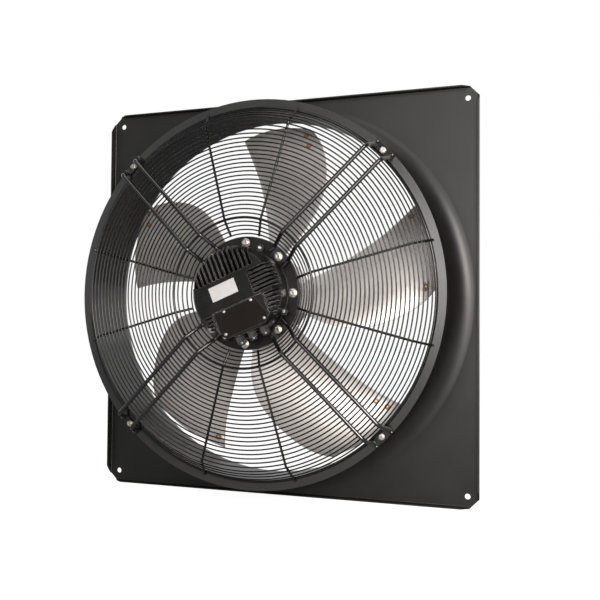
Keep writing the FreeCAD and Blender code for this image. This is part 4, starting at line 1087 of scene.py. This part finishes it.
    def glands(self) -> None:
        """Make the cable glands: hexagon bodies and domed cap nuts."""
        bodies, caps = Piece("gland_hex_bodies"), Piece("gland_cap_nuts")
        down = Vector((math.sin(HOUSING_TILT), 0.0, -math.cos(HOUSING_TILT)))
        for across in self.gland_places:
            seat = Seat(on_face(across, *self.gland_foot), down, FRONT)
            bodies.loft(self.gland_hexagon(seat, *self.gland_body_hexagon) + seat.stack(self.gland_neck))
            caps.loft([seat.round(*self.gland_cap_bore), *self.gland_hexagon(seat, *self.gland_cap_hexagon),
                       *seat.stack(self.gland_dome)])
        bodies.done(GLAND_PLASTIC, "frame", "black_plastic", "gland_bodies")
        caps.done(GLAND_PLASTIC, "frame", "black_plastic", "gland_nuts")


@dataclass
class MotorInside:
    """Parts inside the motor and the electronics housing."""

    soften: float = 0.2

    def build(self) -> None:
        """Dress the hidden parts."""
        dress(BEARING, "bearing_outer_rings", "bearing_inner_rings", "bearing_balls", "shaft", "shaft_clip",
              "preload_washer")
        dress(BRASS, "bearing_cages")
        dress(CORE, "stator_core")
        dress(COPPER, "stator_coils")
        dress(MAGNET, "rotor_magnets")
        dress(BOARD, "control_board")
        dress(SLEEVE, "capacitors")
        dress(GREY_PLASTIC, "terminal_block", soften=self.soften)


@dataclass
class Impeller:
    """Rotor can, hub and five riveted blades."""

    blades: int = 5
    soften: float = 0.8
    rivet_end: Profile = ((2.3, 0.9), (2.9, 0.7), (3.3, 0.15), (4.2, 0.0), (5.6, 0.15), (6.7, 0.6),
                          (7.3, 1.2), (7.5, 2.0), (4.0, 2.0))
    pin_end: Profile = ((2.2, 0.35), (2.6, 0.5))
    axis_guess: Triple = (0.3, -0.9, 0.3)
    axis_rounds: int = 60

    def build(self) -> None:
        """Dress the turning parts and make the rivets."""
        dress(BLADE, *("blade_%d" % (i + 1) for i in range(self.blades)), soften=self.soften)
        dress(BLADE, "impeller_hub")
        dress(ROTOR_PAINT, "rotor_can")
        bodies, pins = Piece("blind_rivets"), Piece("rivet_pins")
        for seat, half in self.rivet_seats():
            bodies.turned(seat, self.both_ends(self.rivet_end, half))
            pins.turned(seat, self.both_ends(self.pin_end, half))
        bodies.done(RIVET, "rotor", "copper_rivet", "tip_rivets")
        pins.done(PIN, "rotor", "zinc_steel")

    def both_ends(self, end: Profile, half: float) -> list[Pair]:
        """Give a section of half length `half` from the radius and sink of the edges of one end."""
        front = [(radius, half - sink) for radius, sink in reversed(end)]
        return [(radius, sink - half) for radius, sink in end] + front

    def rivet_seats(self) -> list[tuple[Seat, float]]:
        """Find the rivets of the CAD node.

        Returns:
            The seat in the middle of each rivet, and half its length.
        """
        mesh = bmesh.new()
        mesh.from_mesh(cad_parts["tip_rivets"].data)
        bmesh.ops.remove_doubles(mesh, verts=mesh.verts, dist=SAME_CORNER * MM)
        left = set(mesh.faces)
        found = []
        while left:
            island, waiting = set(), [min(left, key=lambda face: face.index)]
            while waiting:
                face = waiting.pop()
                if face in island:
                    continue
                island.add(face)
                waiting += [near for corner in face.verts for near in corner.link_faces]
            left -= island
            found.append(self.seat_of(list(island)))
        mesh.free()
        return found

    def seat_of(self, faces: list[bmesh.types.BMFace]) -> tuple[Seat, float]:
        """Find the axis of one rivet, the direction that most of its skin faces.

        Args:
            faces: all its faces.

        Returns:
            The seat in its middle, and half its length.
        """
        spread = Matrix(((0.0,) * 3,) * 3)
        for face in faces:
            normal, area = face.normal, face.calc_area()
            spread += Matrix([normal * (area * part) for part in normal])
        axis = Vector(self.axis_guess)
        for _ in range(self.axis_rounds):
            axis = (spread @ axis).normalized()
        corners = {corner for face in faces for corner in face.verts}
        heights = [corner.co.dot(axis) for corner in corners]
        middle = sum((corner.co for corner in corners), Vector()) / len(corners)
        middle += axis * ((max(heights) + min(heights)) / 2 - middle.dot(axis))
        across = axis.orthogonal().normalized()
        return Seat(middle, axis, across), (max(heights) - min(heights)) / 2 / MM


@dataclass(frozen=True)
class Softbox:
    """One square soft light, its place and size in metres and its power in watts."""

    name: str
    place: Triple
    size: float
    power: float
    colour: Triple

    def hang(self, target: Vector) -> None:
        """Hang the light.

        Args:
            target: the point it faces.
        """
        data = bpy.data.lights.new(self.name, "AREA")
        data.size = self.size
        data.energy = self.power
        data.color = self.colour
        lamp = bpy.data.objects.new(self.name, data)
        bpy.context.scene.collection.objects.link(lamp)
        lamp.location = self.place
        lamp.rotation_euler = (target - lamp.location).to_track_quat("-Z", "Y").to_euler()


@dataclass
class Studio:
    """Camera, soft lights, pale floor and white surroundings, with places in metres."""

    sensor: float = 36.0
    lens: float = 49.92
    eye: Triple = (0.82037, -2.12701, -0.07965)
    eye_right: Triple = (0.94059, 0.33946, 0.00751)
    eye_up: Triple = (0.00354, -0.03192, 0.99948)
    eye_ahead: Triple = (-0.33953, 0.94008, 0.03123)
    floor_level: float = -0.5355
    floor_half: float = 12.0
    floor_tone: float = 0.4
    floor_rough: float = 0.9
    floor_glow: float = 0.95
    floor_mirror: float = 0.06
    side_band: Pair = (-0.6, 0.6)
    side_mirror: Pair = (0.75, 0.08)
    height_band: Pair = (0.05, 0.4)
    height_mirror: Pair = (1.0, 0.25)
    behind_band: Pair = (0.1, 0.45)
    fill: float = 0.05
    target: Triple = (0.0, -0.1, 0.0)
    lamps: tuple[Softbox, ...] = (
        Softbox("key_right", (1.55, -2.2, 0.6), 0.7, 46.0, (1.0, 0.95, 0.91)),
        Softbox("right_panel", (1.5, -2.35, 0.2), 2.2, 30.0, (1.0, 0.96, 0.93)),
        Softbox("low_right", (1.15, -2.9, -0.12), 0.8, 16.0, (1.0, 0.95, 0.91)),
        Softbox("front_panel", (-0.1, -3.3, 0.3), 0.8, 10.0, (1.0, 0.96, 0.94)),
        Softbox("front_top", (0.0, -2.6, 1.6), 0.8, 8.0, (1.0, 0.96, 0.94)),
        Softbox("top", (0.1, -0.9, 2.5), 1.5, 16.0, (1.0, 0.98, 0.96)),
    )

    def camera(self) -> None:
        """Set the camera where the photo was taken from."""
        data = bpy.data.cameras.new("camera")
        data.sensor_width = self.sensor
        data.lens = self.lens
        aim = Matrix((self.eye_right, self.eye_up, -Vector(self.eye_ahead))).transposed().to_4x4()
        aim.translation = self.eye
        eye = bpy.data.objects.new("camera", data)
        bpy.context.scene.collection.objects.link(eye)
        eye.matrix_world = aim
        bpy.context.scene.camera = eye

    def straight_rays(self, net: Net, path: bpy.types.Node) -> Socket:
        """Mark the rays that come to the camera straight, or through something clear."""
        return net.larger(path.outputs["Is Camera Ray"], path.outputs["Is Transmission Ray"])

    def floor(self) -> None:
        """Lay a pale floor that shows white and keeps the fan's shadow."""
        data = bpy.data.meshes.new("pale_floor")
        half, level, tone = self.floor_half, self.floor_level, self.floor_tone
        corners = [(-half, -half, level), (half, -half, level), (half, half, level), (-half, half, level)]
        data.from_pydata(corners, [], [(0, 1, 2, 3)])
        made = bpy.data.objects.new("pale_floor", data)
        bpy.context.scene.collection.objects.link(made)
        surface = bpy.data.materials.new("pale_floor")
        surface.use_nodes = True
        net = Net(surface.node_tree)
        shader = surface.node_tree.nodes["Principled BSDF"]
        shader.inputs["Base Color"].default_value = (tone, tone, tone, 1.0)
        shader.inputs["Roughness"].default_value = self.floor_rough
        shader.inputs["Emission Color"].default_value = WHITE
        path = net.add("LightPath")
        glow = net.larger(net.scaled(self.straight_rays(net, path), self.floor_glow),
                          net.scaled(path.outputs["Is Glossy Ray"], self.floor_mirror))
        net.join(glow, shader.inputs["Emission Strength"])
        data.materials.append(surface)

    def surroundings(self) -> None:
        """Make the surroundings white behind the fan and dim on the studio side."""
        world = bpy.data.worlds.new("studio")
        bpy.context.scene.world = world
        world.use_nodes = True
        net = Net(world.node_tree)
        back = world.node_tree.nodes["Background"]
        back.inputs["Color"].default_value = WHITE
        path = net.add("LightPath")
        x, y, z = net.add("SeparateXYZ", net.add("TexCoord").outputs["Generated"]).outputs
        height = net.add("Math", z, operation="ABSOLUTE").outputs[0]
        side = net.product(net.ranged(x, self.side_band, self.side_mirror),
                           net.ranged(height, self.height_band, self.height_mirror))
        around = net.larger(net.ranged(y, self.behind_band), side)
        mirrored = net.product(path.outputs["Is Glossy Ray"], around)
        seen = net.larger(self.straight_rays(net, path), mirrored)
        fill = net.scaled(path.outputs["Is Diffuse Ray"], self.fill)
        net.join(net.larger(seen, fill), back.inputs["Strength"])

    def build(self) -> None:
        """Set up the whole studio."""
        self.camera()
        self.floor()
        self.surroundings()
        for lamp in self.lamps:
            lamp.hang(Vector(self.target))
        bpy.context.scene.view_settings.view_transform = "Standard"


def main() -> None:
    """Build and dress the fan, then set up the studio."""
    logging.basicConfig(level=logging.INFO, format="%(name)s %(message)s")
    for group in (WallRing(), WireGuard(), SupportArms(), MotorHead(), MotorInside(), Impeller(), Studio()):
        group.build()


if __name__ == "__main__":
    main()
